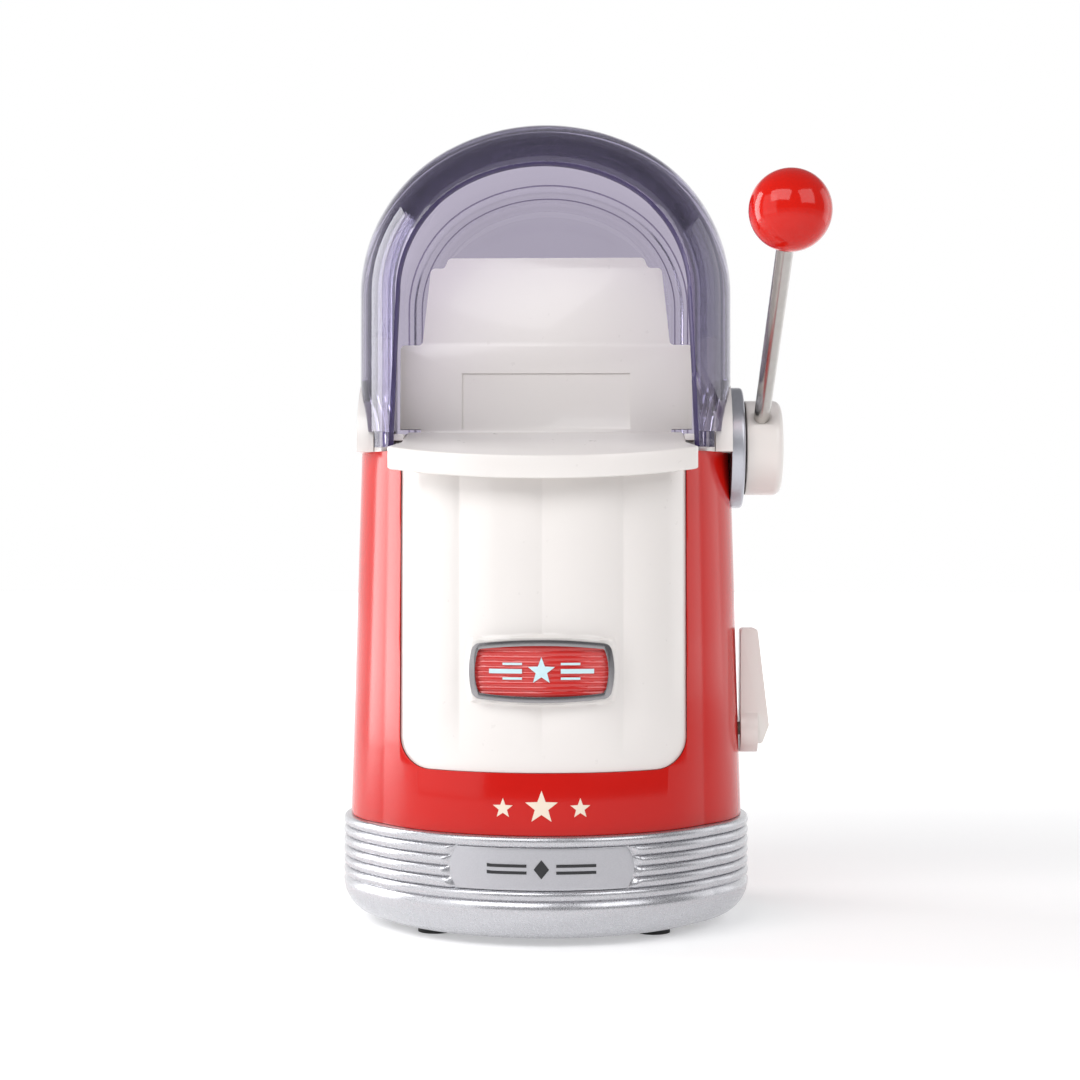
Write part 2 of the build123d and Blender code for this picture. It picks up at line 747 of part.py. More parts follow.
def bubble(inset, z_low):
    y0 = dome_front_flat - dome_front_round + inset
    y1 = dome_rear_flat + dome_rear_round - inset
    solid = arch_solid(inset, z_low, y0, y1)
    ends = solid.edges().group_by(Axis.Y)
    front = [e for e in ends[0] if abs(e.center().Z - z_low) > 1]
    solid = fillet(front, dome_front_round - inset)
    rear = [e for e in solid.edges().group_by(Axis.Y)[-1] if abs(e.center().Z - z_low) > 1]
    return fillet(rear, dome_rear_round - inset)


def dome():
    seat = collar_top + rest_gap
    low = collar_top - tab_drop
    shell = bubble(0, low) - bubble(dome_t, low - 5)
    shell = shell - block(-120, 120, tab_y, 120, low - 1, seat)
    tilt = Pos(0, mouth_y, collar_top) * (Rot(mouth_tilt, 0, 0) * block(-150, 150, -90, 0, -60, dome_top))
    shell = shell - tilt
    cut = x_disc(saddle_r + 0.5, 60, 120) + x_disc(saddle_r + 0.5, -120, -60)
    return shell - cut


# ---- popping chamber, heater and blower
def popping_chamber():
    outer = chamber_r + chamber_t
    cup = disc(outer, chamber_low, chamber_top, 0, air_y)
    cup = cup + tube(chamber_flange_r, outer - 0.5, chamber_top - 1.5, chamber_top, 0, air_y)
    cup = cup - disc(chamber_r, chamber_low + chamber_t, chamber_top + 1, 0, air_y)
    z0 = chamber_low + 5
    for i in range(slot_count):
        slot = block(chamber_r - 3, outer + 3, -slot_half_w, slot_half_w, z0, z0 + slot_h)
        cup = cup - Pos(0, air_y, 0) * (Rot(0, 0, 360 / slot_count * i) * slot)
    return cup


def chamber_gasket():
    ring = tube(chamber_flange_r, chamber_flange_r - skirt_t, chamber_top,
                chamber_top + gasket_t, 0, air_y)
    return ring - block(-100, 100, -40, 9.0, cut_low, cut_high)


def air_duct():
    top = chamber_low + 26
    duct = tube(duct_r + duct_t, duct_r, duct_low, top, 0, air_y)
    duct = duct + tube(duct_r + 0.5, chamber_r + chamber_t + 0.1, top - duct_lid, top, 0, air_y)
    seat = tube(duct_r + 0.5, chamber_r - 5, chamber_low - duct_lid, chamber_low, 0, air_y)
    for i in range(8):
        gap = block(chamber_r + 1.4, duct_r - 0.6, -9, 9, chamber_low - 9, chamber_low + 1)
        seat = seat - Pos(0, air_y, 0) * (Rot(0, 0, 45 * i) * gap)
    return duct + seat


def heater_frame():
    low, top, half = duct_low + 3, chamber_low - duct_lid, chamber_r - 6.0
    frame = block(-half, half, air_y - 0.6, air_y + 0.6, low, top - 4)
    frame = frame + block(-0.6, 0.6, air_y - half, air_y + half, low, top - 4)
    return frame + tube(chamber_r - 5.2, chamber_r - 7, low, top, 0, air_y)


def heater_coil():
    return Pos(0, air_y, duct_low + 6) * coil(chamber_r - 2.6, 0.8, 5.0, 3)


def blower_housing():
    r = duct_r + duct_t
    top = duct_low
    box = tube(r, duct_r, housing_low, top, 0, air_y)
    box = box + tube(duct_r + 0.5, intake_r, housing_low, housing_low + housing_floor, 0, air_y)
    for x in (-bracket_screw_x, bracket_screw_x):
        box = box + disc(4, motor_top + bracket_t, housing_low + 0.5, x, air_y)
        box = box - disc(1.5, 30, housing_low + housing_floor, x, air_y)
    return box


def motor_bracket():
    half = bracket_screw_x + 5.0
    bar = block(-half, half, air_y - 6, air_y + 6, motor_top, motor_top + bracket_t)
    bar = bar + disc(motor_r, motor_top, motor_top + bracket_t, 0, air_y)
    bar = bar - disc(4, 0, 90, 0, air_y)
    for x in (-bracket_screw_x, bracket_screw_x):
        bar = bar - disc(1.7, 0, 90, x, air_y)
    return bar


def bracket_screws():
    screws = []
    for x in (-bracket_screw_x, bracket_screw_x):
        head = disc(3, motor_top - 1.8, motor_top, x, air_y)
        screws.append(head + disc(1.5, motor_top, housing_low, x, air_y))
    return group(screws)


def motor_can():
    can = disc(motor_r, motor_low, motor_top, 0, air_y)
    can = fillet(can.edges().group_by(Axis.Z)[0], 2.0)
    can = can + disc(3.6, motor_top, motor_top + bracket_t, 0, air_y)
    return can - disc(motor_shaft_r + run_gap, motor_low + 4, 90, 0, air_y)


def motor_shaft():
    return disc(motor_shaft_r, motor_low + 5, impeller_low + impeller_h - 2, 0, air_y)


def fan_impeller():
    low, top = impeller_low, impeller_low + impeller_h
    wheel = disc(7, low, top, 0, air_y) + tube(impeller_r, 6, top - 1.5, top, 0, air_y)
    for i in range(blade_count):
        blade = block(-blade_half_t, blade_half_t, 0, impeller_r / 2, low, top)
        blade = Pos(0, impeller_r / 2 - 1, 0) * (Rot(0, 0, blade_turn) * blade)
        wheel = wheel + Pos(0, air_y, 0) * (Rot(0, 0, 360 / blade_count * i) * blade)
    wheel = wheel & disc(impeller_r, low, top, 0, air_y)
    return wheel - disc(motor_shaft_r, 0, top - 2, 0, air_y)


def thermostat():
    face = air_y - chamber_r - chamber_t
    z = 168.0
    body = y_disc(8, face - 7, face - 1.2, 0, z)
    bracket = block(-12, 12, face - 1.2, face + 1, z - 6, z + 6)
    bracket = bracket - disc(chamber_r + chamber_t, z - 9, z + 9, 0, air_y)
    tags = block(-5, -3, face - 13, face - 7, z - 0.4, z + 0.4)
    tags = tags + block(3, 5, face - 13, face - 7, z - 0.4, z + 0.4)
    return body + bracket + tags


def thermal_fuse():
    r = duct_r + duct_t
    return x_disc(2.2, -7, 7, air_y - r - 2.2, 100)


def rectifier_board():
    x0, y0, z0 = *board_at, base_low + pan_t
    board = block(x0 - 15, x0 + 15, y0 - 11, y0 + 11, z0 + 5, z0 + 6.6)
    for x, y in four((12.0, 8.0)):
        board = board + disc(2.0, z0, z0 + 5, x0 + x, y0 + y)
    for i in range(4):
        x = x0 - 9 + 6 * i
        board = board + block(x - 1.6, x + 1.6, y0 - 6, y0 + 1, z0 + 6.6, z0 + 9.4)
    return board + disc(4.5, z0 + 6.6, z0 + 18, x0 + 9, y0 + 5.5)


def terminal_block():
    x0, y0, z0 = *terminal_at, base_low + pan_t
    body = block(x0 - 14, x0 + 14, y0 - 7, y0 + 7, z0, z0 + 12)
    for i in range(3):
        x = x0 - 9 + 9 * i
        body = body - disc(2, z0 + 5, z0 + 13, x, y0) - y_disc(1.4, y0 - 8, y0 + 8, x, z0 + 4)
    return body


# ---- power knob
def knob_wall():
    return body_sizes(knob_z)[0]


def power_knob():
    inner, knob_out = knob_wall() + 0.7, knob_wall() + knob_reach
    boss = x_disc(knob_boss_r, inner, knob_out - 2, 0, knob_z)
    side = [(inner, knob_z - 4), (knob_out, knob_z - 7), (knob_out + 3.4, knob_z + 2),
            (knob_out - 2.0, knob_top), (inner + 0.2, knob_top)]
    face = make_face(Polyline(*side, close=True))
    paddle = fillet(front_prism(face, -8, 8).edges().filter_by(Axis.Y), 1.8)
    knob = boss + paddle
    return knob - x_disc(spindle_r, 60, knob_out - 5, 0, knob_z)


def knob_spindle():
    depth = knob_wall() - shell_t - switch_size[0] + 2
    return x_disc(spindle_r, depth, knob_wall() + knob_reach - 5, 0, knob_z)


def switch_body():
    x1 = knob_wall() - shell_t - 1.0
    x0 = x1 - switch_size[0]
    half_y, half_z = switch_size[1] / 2, switch_size[2] / 2
    body = block(x0, x1, -half_y, half_y, knob_z - half_z, knob_z + half_z)
    body = body + x_disc(6, x1, x1 + 0.6, 0, knob_z)
    for z in (-6, 6):
        body = body + block(x0 - 6, x0, -3, 3, knob_z + z - 0.4, knob_z + z + 0.4)
    return body - x_disc(spindle_r + run_gap, x0 + 1.5, x1 + 2, 0, knob_z)


NODES = {
    "base_pan": base_pan, "name_plate": name_plate, "intake_grille": intake_grille,
    "rubber_feet": rubber_feet, "base_screws": base_screws, "cord_gland": cord_gland,
    "body_shell": body_shell, "chute_panel": chute_panel, "badge_frame": badge_frame,
    "badge_insert": badge_insert, "deck": deck, "deck_screws": deck_screws,
    "serving_ramp": serving_ramp, "shaft_bush_right": lambda: shaft_bush(1),
    "shaft_bush_left": lambda: shaft_bush(-1), "hub_escutcheon": hub_escutcheon,
    "hub_washer": hub_washer, "lever_hub": lever_hub, "lever_rod": lever_rod,
    "ball_knob": ball_knob, "hub_screw": hub_screw, "drive_shaft": drive_shaft,
    "shaft_clips": shaft_clips, "gate": gate, "gate_screws": gate_screws,
    "return_spring": return_spring, "dome": dome, "popping_chamber": popping_chamber,
    "chamber_gasket": chamber_gasket, "air_duct": air_duct, "heater_frame": heater_frame,
    "heater_coil": heater_coil, "blower_housing": blower_housing,
    "motor_bracket": motor_bracket, "bracket_screws": bracket_screws, "motor_can": motor_can,
    "motor_shaft": motor_shaft, "fan_impeller": fan_impeller, "thermostat": thermostat,
    "thermal_fuse": thermal_fuse, "rectifier_board": rectifier_board,
    "terminal_block": terminal_block, "power_knob": power_knob,
    "knob_spindle": knob_spindle, "switch_body": switch_body,
}

os.makedirs("parts", exist_ok=True)
for name, make in NODES.items():
    shape = make()
    export_step(shape, f"parts/{name}.step")
    print(name, len(shape.solids()), round(shape.volume / 1000, 1), "cm3", shape.is_valid)
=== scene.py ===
# %% [markdown]
# # A hot-air popcorn maker
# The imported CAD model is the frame: every size, joint and place comes from it. Here it gets its
# looks. Large glossy covers are modelled again as clean quads, because a reflection shows every
# facet, and the smaller mouldings are the CAD shapes with soft edges. All lengths are in metres.

import json
import math

import bmesh
import bpy
from mathutils import Matrix, Vector


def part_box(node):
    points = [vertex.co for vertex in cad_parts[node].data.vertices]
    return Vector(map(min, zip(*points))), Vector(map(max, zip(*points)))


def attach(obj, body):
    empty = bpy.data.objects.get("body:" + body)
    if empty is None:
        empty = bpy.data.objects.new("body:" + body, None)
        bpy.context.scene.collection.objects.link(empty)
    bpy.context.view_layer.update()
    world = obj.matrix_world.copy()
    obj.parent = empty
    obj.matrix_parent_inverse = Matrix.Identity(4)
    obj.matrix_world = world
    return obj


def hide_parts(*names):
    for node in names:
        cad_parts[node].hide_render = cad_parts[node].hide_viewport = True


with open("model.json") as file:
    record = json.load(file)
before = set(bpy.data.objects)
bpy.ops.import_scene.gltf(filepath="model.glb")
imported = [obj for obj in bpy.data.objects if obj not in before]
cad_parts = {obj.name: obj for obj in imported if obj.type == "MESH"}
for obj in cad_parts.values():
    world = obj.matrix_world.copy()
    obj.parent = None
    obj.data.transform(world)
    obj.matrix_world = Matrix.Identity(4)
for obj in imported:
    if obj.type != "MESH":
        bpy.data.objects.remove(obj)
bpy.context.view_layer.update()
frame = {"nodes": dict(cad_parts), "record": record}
MM = 0.001
scene = bpy.context.scene


def low(node):
    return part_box(node)[0]


def high(node):
    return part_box(node)[1]


def middle(node):
    return (low(node) + high(node)) / 2


# %% [markdown]
# ## Node graphs written as sums
# A finish is easier to read as an expression than as a chain of nodes, so a socket is wrapped in
# a small class whose operators add Math nodes. Everything else goes through one method, node().


# %% A socket that does arithmetic
class Signal:
    def __init__(self, finish, socket):
        self.finish = finish
        self.socket = socket

    def _math(self, operation, first, second=None):
        inputs = {0: first} if second is None else {0: first, 1: second}
        return self.finish.node("ShaderNodeMath", {"operation": operation}, inputs)

    def __add__(self, other):
        return self._math("ADD", self, other)

    def __radd__(self, other):
        return self._math("ADD", other, self)

    def __sub__(self, other):
        return self._math("SUBTRACT", self, other)

    def __rsub__(self, other):
        return self._math("SUBTRACT", other, self)

    def __mul__(self, other):
        return self._math("MULTIPLY", self, other)

    def __rmul__(self, other):
        return self._math("MULTIPLY", other, self)

    def __pow__(self, other):
        return self._math("POWER", self, other)

    def clipped(self):
        return self.finish.node("ShaderNodeClamp", {}, {"Value": self})


# %% A material under construction
class Finish:
    def __init__(self, name, store=bpy.data.materials):
        self.material = store.new(name)
        self.material.use_nodes = True
        self.tree = self.material.node_tree
        self.tree.nodes.clear()
        self.place = self.node("ShaderNodeTexCoord", {}, {}, "Object")

    def node(self, kind, settings, inputs, output=0):
        made = self.tree.nodes.new(kind)
        for key, value in settings.items():
            setattr(made, key, value)
        for key, value in inputs.items():
            if isinstance(value, Signal):
                self.tree.links.new(value.socket, made.inputs[key])
            else:
                made.inputs[key].default_value = value
        return Signal(self, made.outputs[output])

    def stretched(self, x, y, z):
        return self.node("ShaderNodeMapping", {}, {"Vector": self.place, "Scale": (x, y, z)})

    def noise(self, scale, detail=2.0, where=None):
        inputs = {"Vector": where or self.place, "Scale": scale, "Detail": detail}
        return self.node("ShaderNodeTexNoise", {}, inputs, "Fac")

    def cells(self, scale):
        return self.node("ShaderNodeTexVoronoi", {}, {"Vector": self.place, "Scale": scale}, "Color")

    def blend(self, share, one, other):
        return self.node("ShaderNodeMix", {"data_type": "RGBA"}, {0: share, 6: one, 7: other}, 2)

    def relief(self, height, depth, strength=1.0):
        inputs = {"Height": height, "Distance": depth, "Strength": strength}
        return self.node("ShaderNodeBump", {}, inputs)

    def surface(self, **inputs):
        named = {key.replace("_", " "): value for key, value in inputs.items()}
        return self.node("ShaderNodeBsdfPrincipled", {}, named)

    def done(self, shader, output="ShaderNodeOutputMaterial"):
        out = self.tree.nodes.new(output)
        self.tree.links.new(shader.socket, out.inputs["Surface"])
        return self.material


def tint(red, green, blue):
    return (red, green, blue, 1.0)


# %% [markdown]
# ## Finishes
# New mouldings are not flat colours. Gloss plastic has a faint ripple from the mould and a slow
# drift of shade, metallic lacquer has flakes, drawn steel has lines, rubber has a grain.

# %% Gloss plastic
def gloss_plastic(name, colour, deeper, roughness, coat, ripple=0.02, ior=1.5):
    f = Finish(name)
    drift = f.noise(9.0, 1.0)
    wear = f.noise(220.0, 3.0)
    shell = f.surface(Base_Color=f.blend(drift, colour, deeper),
                      Roughness=roughness + 0.05 * wear,
                      IOR=ior, Coat_Weight=coat, Coat_Roughness=0.03,
                      Normal=f.relief(f.noise(420.0, 1.0), 0.00012, ripple))
    return f.done(shell)


red_gloss = gloss_plastic("red_gloss", tint(0.57, 0.008, 0.004), tint(0.51, 0.006, 0.003),
                          0.15, 0.10, ior=1.36)
ball_gloss = gloss_plastic("ball_gloss", tint(0.62, 0.009, 0.003), tint(0.56, 0.007, 0.002),
                           0.09, 0.15, 0.01, 1.36)
white_gloss = gloss_plastic("white_gloss", tint(0.80, 0.765, 0.74), tint(0.775, 0.74, 0.715),
                            0.26, 0.25)
knob_white = gloss_plastic("knob_white", tint(0.80, 0.755, 0.72), tint(0.77, 0.72, 0.69),
                           0.30, 0.25)
cream_print = gloss_plastic("cream_print", tint(0.84, 0.72, 0.60), tint(0.80, 0.68, 0.56),
                            0.40, 0.1)


# %% Metallic lacquer and metals
def lacquer(name, colour, darker, metallic, roughness):
    f = Finish(name)
    flake = f.node("ShaderNodeSeparateColor", {}, {"Color": f.cells(2600.0)}, 0)
    skin = f.surface(Base_Color=f.blend(flake * 0.6 + 0.4 * f.noise(14.0), colour, darker),
                     Metallic=metallic, Roughness=roughness + 0.08 * flake,
                     Coat_Weight=0.35, Coat_Roughness=0.08,
                     Normal=f.relief(flake, 0.00003, 0.25))
    return f.done(skin)


def drawn_metal(name, colour, darker, roughness, stretch, depth=0.00004):
    f = Finish(name)
    lines = f.noise(90.0, 4.0, f.stretched(*stretch))
    skin = f.surface(Base_Color=f.blend(lines, colour, darker), Metallic=1.0,
                     Roughness=roughness + 0.14 * lines,
                     Normal=f.relief(lines, depth, 0.35))
    return f.done(skin)


silver_lacquer = lacquer("silver_lacquer", tint(0.56, 0.56, 0.585), tint(0.49, 0.49, 0.52),
                         0.80, 0.25)
plate_lacquer = lacquer("plate_lacquer", tint(0.52, 0.52, 0.55), tint(0.47, 0.47, 0.50), 0.80, 0.34)
ring_lacquer = lacquer("ring_lacquer", tint(0.56, 0.57, 0.62), tint(0.50, 0.51, 0.56), 0.85, 0.30)
rod_steel = drawn_metal("rod_steel", tint(0.58, 0.56, 0.54), tint(0.46, 0.44, 0.42), 0.16, (3, 3, 3))
fastener_steel = drawn_metal("fastener_steel", tint(0.56, 0.55, 0.53), tint(0.45, 0.44, 0.43), 0.28,
                             (6, 6, 1))
sheet_steel = drawn_metal("sheet_steel", tint(0.52, 0.52, 0.51), tint(0.44, 0.44, 0.43), 0.34,
                          (1, 1, 12))
drawn_aluminium = drawn_metal("drawn_aluminium", tint(0.74, 0.74, 0.75), tint(0.64, 0.64, 0.65), 0.30,
                              (1, 1, 14))
hot_wire = drawn_metal("hot_wire", tint(0.22, 0.18, 0.16), tint(0.15, 0.12, 0.11), 0.45, (4, 4, 4))
badge_chrome = drawn_metal("badge_chrome", tint(0.34, 0.33, 0.34), tint(0.28, 0.27, 0.28), 0.12,
                           (2, 2, 2), 0.00001)


# %% Rubber, grained plastic, ceramic and board
def grained(name, colour, darker, roughness, scale, depth, coat=0.0):
    f = Finish(name)
    grain = f.noise(scale, 4.0)
    skin = f.surface(Base_Color=f.blend(grain, colour, darker),
                     Roughness=roughness + 0.1 * grain, Coat_Weight=coat,
                     Normal=f.relief(grain, depth, 0.5))
    return f.done(skin)


foot_rubber = grained("foot_rubber", tint(0.03, 0.03, 0.03), tint(0.018, 0.018, 0.018), 0.75, 900.0,
                      0.00006)
black_ring = grained("black_ring", tint(0.012, 0.012, 0.013), tint(0.008, 0.008, 0.009), 0.5, 900.0,
                     0.00004)
black_plastic = grained("black_plastic", tint(0.035, 0.035, 0.038), tint(0.02, 0.02, 0.022), 0.5,
                        1400.0, 0.00005)
natural_nylon = grained("natural_nylon", tint(0.66, 0.63, 0.55), tint(0.58, 0.55, 0.48), 0.45, 700.0,
                        0.00003)
clear_silicone = grained("clear_silicone", tint(0.62, 0.62, 0.58), tint(0.54, 0.54, 0.50), 0.5, 500.0,
                         0.00003)
mica_board = grained("mica_board", tint(0.42, 0.34, 0.22), tint(0.30, 0.24, 0.15), 0.55, 260.0,
                     0.00008)
white_ceramic = grained("white_ceramic", tint(0.74, 0.72, 0.66), tint(0.66, 0.64, 0.58), 0.6, 1200.0,
                        0.00004)
circuit_board = grained("circuit_board", tint(0.03, 0.15, 0.06), tint(0.02, 0.10, 0.04), 0.35, 380.0,
                        0.00003, 0.4)
badge_red = gloss_plastic("badge_red", tint(0.60, 0.014, 0.010), tint(0.50, 0.010, 0.008), 0.14, 0.8,
                          0.01)
pale_print = grained("pale_print", tint(0.62, 0.80, 0.84), tint(0.52, 0.72, 0.77), 0.4, 600.0, 0.00002)
dark_print = grained("dark_print", tint(0.022, 0.022, 0.025), tint(0.014, 0.014, 0.016), 0.45, 600.0,
                     0.00002)


# %% [markdown]
# ## Smoky clear plastic
# Tinted clear plastic looks pale face on and nearly black where one looks along the wall. True
# refraction would leave the inside dark, so the wall is a mix: a tinted see-through shader face
# on and a deep violet gloss at a glancing angle, which is what Layer Weight measures. The rear
# wall, which is seen through the mouth, is made a little deeper by painted shade that grows
# towards the back. The rim has a finish of its own.

# %% Smoky clear plastic
def smoky_clear():
    f = Finish("smoky_clear")
    facing = f.node("ShaderNodeLayerWeight", {}, {"Blend": 0.5}, "Facing")
    fresnel = f.node("ShaderNodeFresnel", {}, {"IOR": 1.46})
    haze = 0.03 * f.noise(30.0, 2.0)
    depth = f.node("ShaderNodeSeparateXYZ", {}, {"Vector": f.place}, 1)
    # Painted shade: by position alone, more of the deep gloss towards the back of the dome.
    painted_rear_shade = ((depth - 0.045) * 90.0).clipped()
    through = f.node("ShaderNodeBsdfTransparent", {}, {"Color": tint(0.74, 0.71, 0.79)})
    deep = f.surface(Base_Color=tint(0.035, 0.026, 0.085), Roughness=0.03, IOR=1.5,
                     Coat_Weight=1.0, Coat_Roughness=0.02)
    gloss = f.surface(Base_Color=tint(0.9, 0.9, 0.95), Metallic=1.0, Roughness=0.03)
    tint_and_painted_shade_mix = (0.01 + haze + 0.13 * painted_rear_shade + 0.66 * facing ** 4.5).clipped()
    body = f.node("ShaderNodeMixShader", {}, {0: tint_and_painted_shade_mix, 1: through, 2: deep})
    return f.done(f.node("ShaderNodeMixShader", {}, {0: (fresnel * 0.9).clipped(), 1: body,
                                                     2: gloss}))


smoky_dome = smoky_clear()


def rim_plastic():
    f = Finish("rim_plastic")
    facing = f.node("ShaderNodeLayerWeight", {}, {"Blend": 0.4}, "Facing")
    through = f.node("ShaderNodeBsdfTransparent", {}, {"Color": tint(0.22, 0.19, 0.36)})
    deep = f.surface(Base_Color=tint(0.055, 0.042, 0.115), Roughness=0.25, Coat_Weight=0.3,
                     Coat_Roughness=0.05)
    return f.done(f.node("ShaderNodeMixShader", {}, {0: (0.80 + 0.18 * facing).clipped(),
                                                     1: through, 2: deep}))


dark_rim = rim_plastic()

# %% Finishes for the CAD nodes that stay
slot_finish = {
    "red_gloss": red_gloss, "white_gloss": white_gloss, "silver_plastic": silver_lacquer,
    "silver_plate": plate_lacquer, "silver_trim": ring_lacquer, "chrome_trim": badge_chrome,
    "badge_red": badge_red, "red_ball": ball_gloss, "smoke_clear": smoky_dome,
    "steel": fastener_steel, "black_rubber": black_ring, "foot_rubber": foot_rubber,
    "dark_plastic": black_plastic, "nylon": natural_nylon, "silicone": clear_silicone,
    "chamber_alu": drawn_aluminium, "duct_steel": sheet_steel, "mica": mica_board,
    "heater_wire": hot_wire, "ceramic_white": white_ceramic, "board_green": circuit_board,
}
node_slot = {row["node"]: row["material_slot"] for row in frame["record"]["subparts"]}
node_body = {}
for body_name, members in frame["record"]["behaviour"]["bodies"].items():
    for member in members:
        node_body[member] = body_name
for node_name, cad_object in frame["nodes"].items():
    cad_object.data.materials.clear()
    cad_object.data.materials.append(slot_finish[node_slot[node_name]])
print("finishes on", len(frame["nodes"]), "CAD nodes")

# %% [markdown]
# ## Turning a bmesh into a piece
# Every new piece ends the same way: it becomes an object at the origin, is smooth except at real
# edges, rides on the CAD body of the node it stands for, and wears the finish it is given.


# %% Finishing helpers
def to_piece(name, bm, finish, node, stands_for=(), sharp=32.0):
    mesh = bpy.data.meshes.new(name)
    bm.to_mesh(mesh)
    bm.free()
    piece = bpy.data.objects.new(name, mesh)
    scene.collection.objects.link(piece)
    for one in finish if isinstance(finish, list) else [finish]:
        mesh.materials.append(one)
    soften(piece, sharp)
    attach(piece, node_body[node])
    if stands_for:
        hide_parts(*stands_for)
    return piece


def soften(piece, sharp):
    piece.data.shade_smooth()
    piece.data.set_sharp_from_angle(angle=math.radians(sharp))


def settle(piece, sharp=32.0):
    """Apply the piece's modifiers, so that what follows works on the real mesh."""
    graph = bpy.context.evaluated_depsgraph_get()
    graph.update()
    solid = bpy.data.meshes.new_from_object(piece.evaluated_get(graph))
    old = piece.data
    piece.modifiers.clear()
    piece.data = solid
    bpy.data.meshes.remove(old)
    solid.name = piece.name
    soften(piece, sharp)


def thicken(piece, wall, offset=-1.0):
    modifier = piece.modifiers.new("wall", "SOLIDIFY")
    modifier.thickness = wall
    modifier.offset = offset
    modifier.use_even_offset = True


def round_edges(piece, width, angle=40.0, segments=2):
    modifier = piece.modifiers.new("edges", "BEVEL")
    modifier.width = width
    modifier.segments = segments
    modifier.limit_method = "ANGLE"
    modifier.angle_limit = math.radians(angle)
    modifier.use_clamp_overlap = True
    modifier.harden_normals = False


def cut_away(piece, bm_tool):
    mesh = bpy.data.meshes.new("cutter")
    bm_tool.to_mesh(mesh)
    bm_tool.free()
    tool = bpy.data.objects.new("cutter", mesh)
    scene.collection.objects.link(tool)
    modifier = piece.modifiers.new("cut", "BOOLEAN")
    modifier.operation = "DIFFERENCE"
    modifier.solver = "EXACT"
    modifier.object = tool
    settle(piece)
    bpy.data.objects.remove(tool)
    bpy.data.meshes.remove(mesh)


def box_mesh(x0, x1, y0, y1, z0, z1):
    bm = bmesh.new()
    centre = Vector(((x0 + x1) / 2, (y0 + y1) / 2, (z0 + z1) / 2))
    size = Matrix.Diagonal((x1 - x0, y1 - y0, z1 - z0, 1.0))
    bmesh.ops.create_cube(bm, size=1.0, matrix=Matrix.Translation(centre) @ size)
    return bm


# %% [markdown]
# ## Rings
# Covers of this kind are stacks of outlines. A ring of vertices is set on its outline by a
# function, extruded, and set again a little higher: lift() keeps the vertices in order.


# %% Ring helpers
def first_ring(bm, count, place, closed=True):
    if closed:
        ring = bmesh.ops.create_circle(bm, segments=count, radius=1.0)["verts"]
    else:
        ring = [bm.verts.new((0, 0, 0)) for _ in range(count)]
        for one, other in zip(ring, ring[1:]):
            bm.edges.new((one, other))
    for i, vert in enumerate(ring):
        vert.co = place(i)
    return ring


def lift(bm, ring, place, closed=True):
    """Extrude an ordered ring and put each new vertex at place(its number)."""
    pairs = list(zip(ring, ring[1:]))
    if closed:
        pairs.append((ring[-1], ring[0]))
    number = {vert: i for i, vert in enumerate(ring)}
    made = bmesh.ops.extrude_edge_only(bm, edges=[bm.edges.get(pair) for pair in pairs])["geom"]
    raised = [None] * len(ring)
    for vert in (g for g in made if isinstance(g, bmesh.types.BMVert)):
        below = next(e.other_vert(vert) for e in vert.link_edges if e.other_vert(vert) in number)
        raised[number[below]] = vert
        vert.co = place(number[below])
    return raised


def facing_out(bm):
    bmesh.ops.remove_doubles(bm, verts=bm.verts[:], dist=1e-6)
    bmesh.ops.recalc_face_normals(bm, faces=bm.faces[:])


def sheet(bm, columns, rows, place):
    """An open grid of quads, with each vertex at place(its column, its row)."""
    row = first_ring(bm, columns + 1, lambda i: place(i, 0), False)
    for step in range(1, rows + 1):
        row = lift(bm, row, lambda i, s=step: place(i, s), False)


def facing_front(bm):
    """Turn an open sheet round if it faces the back."""
    if sum(face.normal.y for face in bm.faces) > 0:
        bmesh.ops.reverse_faces(bm, faces=bm.faces[:])


# %% [markdown]
# ## The four-lobed plan
# Seen from above, the base and the body are four shallow arcs that meet in soft creases. The
# half width and half depth come from the CAD boxes; the crease is where two arcs cross.

# %% A point on the lobed outline
SEGMENTS = 480
SIDE_SHARE = 0.38


def arc_radius(half, along, across):
    rise = half - along
    return (across ** 2 + rise ** 2) / (2 * rise)


def crease(half_w, half_d, notch, inset):
    r_side = arc_radius(half_w, notch[0], notch[1])
    r_front = arc_radius(half_d, notch[1], notch[0])
    a, b = r_side - inset, r_front - inset
    x0, y1 = half_w - r_side, half_d - r_front
    gap = math.hypot(x0, y1)
    along = (a * a - b * b + gap * gap) / (2 * gap)
    off = math.sqrt(a * a - along * along)
    ux, uy = -x0 / gap, y1 / gap
    foot = (x0 + along * ux, along * uy)
    best = max([(foot[0] - s * off * uy, foot[1] + s * off * ux) for s in (-1, 1)], key=sum)
    return best, (x0, a), (y1, b)


def lobed_outline(half_w, half_d, notch, inset):
    """A function from a vertex number to (x, y) on the lobed outline, moved inward by inset."""
    corner, side, front = crease(half_w, half_d, notch, inset)
    side_end = math.atan2(corner[1], corner[0] - side[0])
    front_end = math.atan2(corner[0], corner[1] - front[0])
    quarter = SEGMENTS // 4

    def point(i):
        quadrant, step = divmod(i % SEGMENTS, quarter)
        share = step / quarter
        if quadrant % 2:
            share = 1 - share
        if share <= SIDE_SHARE:
            turn = side_end * share / SIDE_SHARE
            x, y = side[0] + side[1] * math.cos(turn), side[1] * math.sin(turn)
        else:
            turn = front_end * (1 - share) / (1 - SIDE_SHARE)
            x, y = front[1] * math.sin(turn), front[0] + front[1] * math.cos(turn)
        return (x if quadrant in (0, 3) else -x), (y if quadrant < 2 else -y)

    return point


base_half = (high("base_pan").x, high("base_pan").y)
base_notch = (77.8 * MM, 47.5 * MM)
body_low_half = (high("body_shell").x, high("body_shell").y)
body_top_half = (88.0 * MM, 80.0 * MM)
body_low_notch = (73.5 * MM, 45.5 * MM)
body_top_notch = (71.0 * MM, 42.5 * MM)
body_low_z = low("body_shell").z
body_top_z = high("body_shell").z


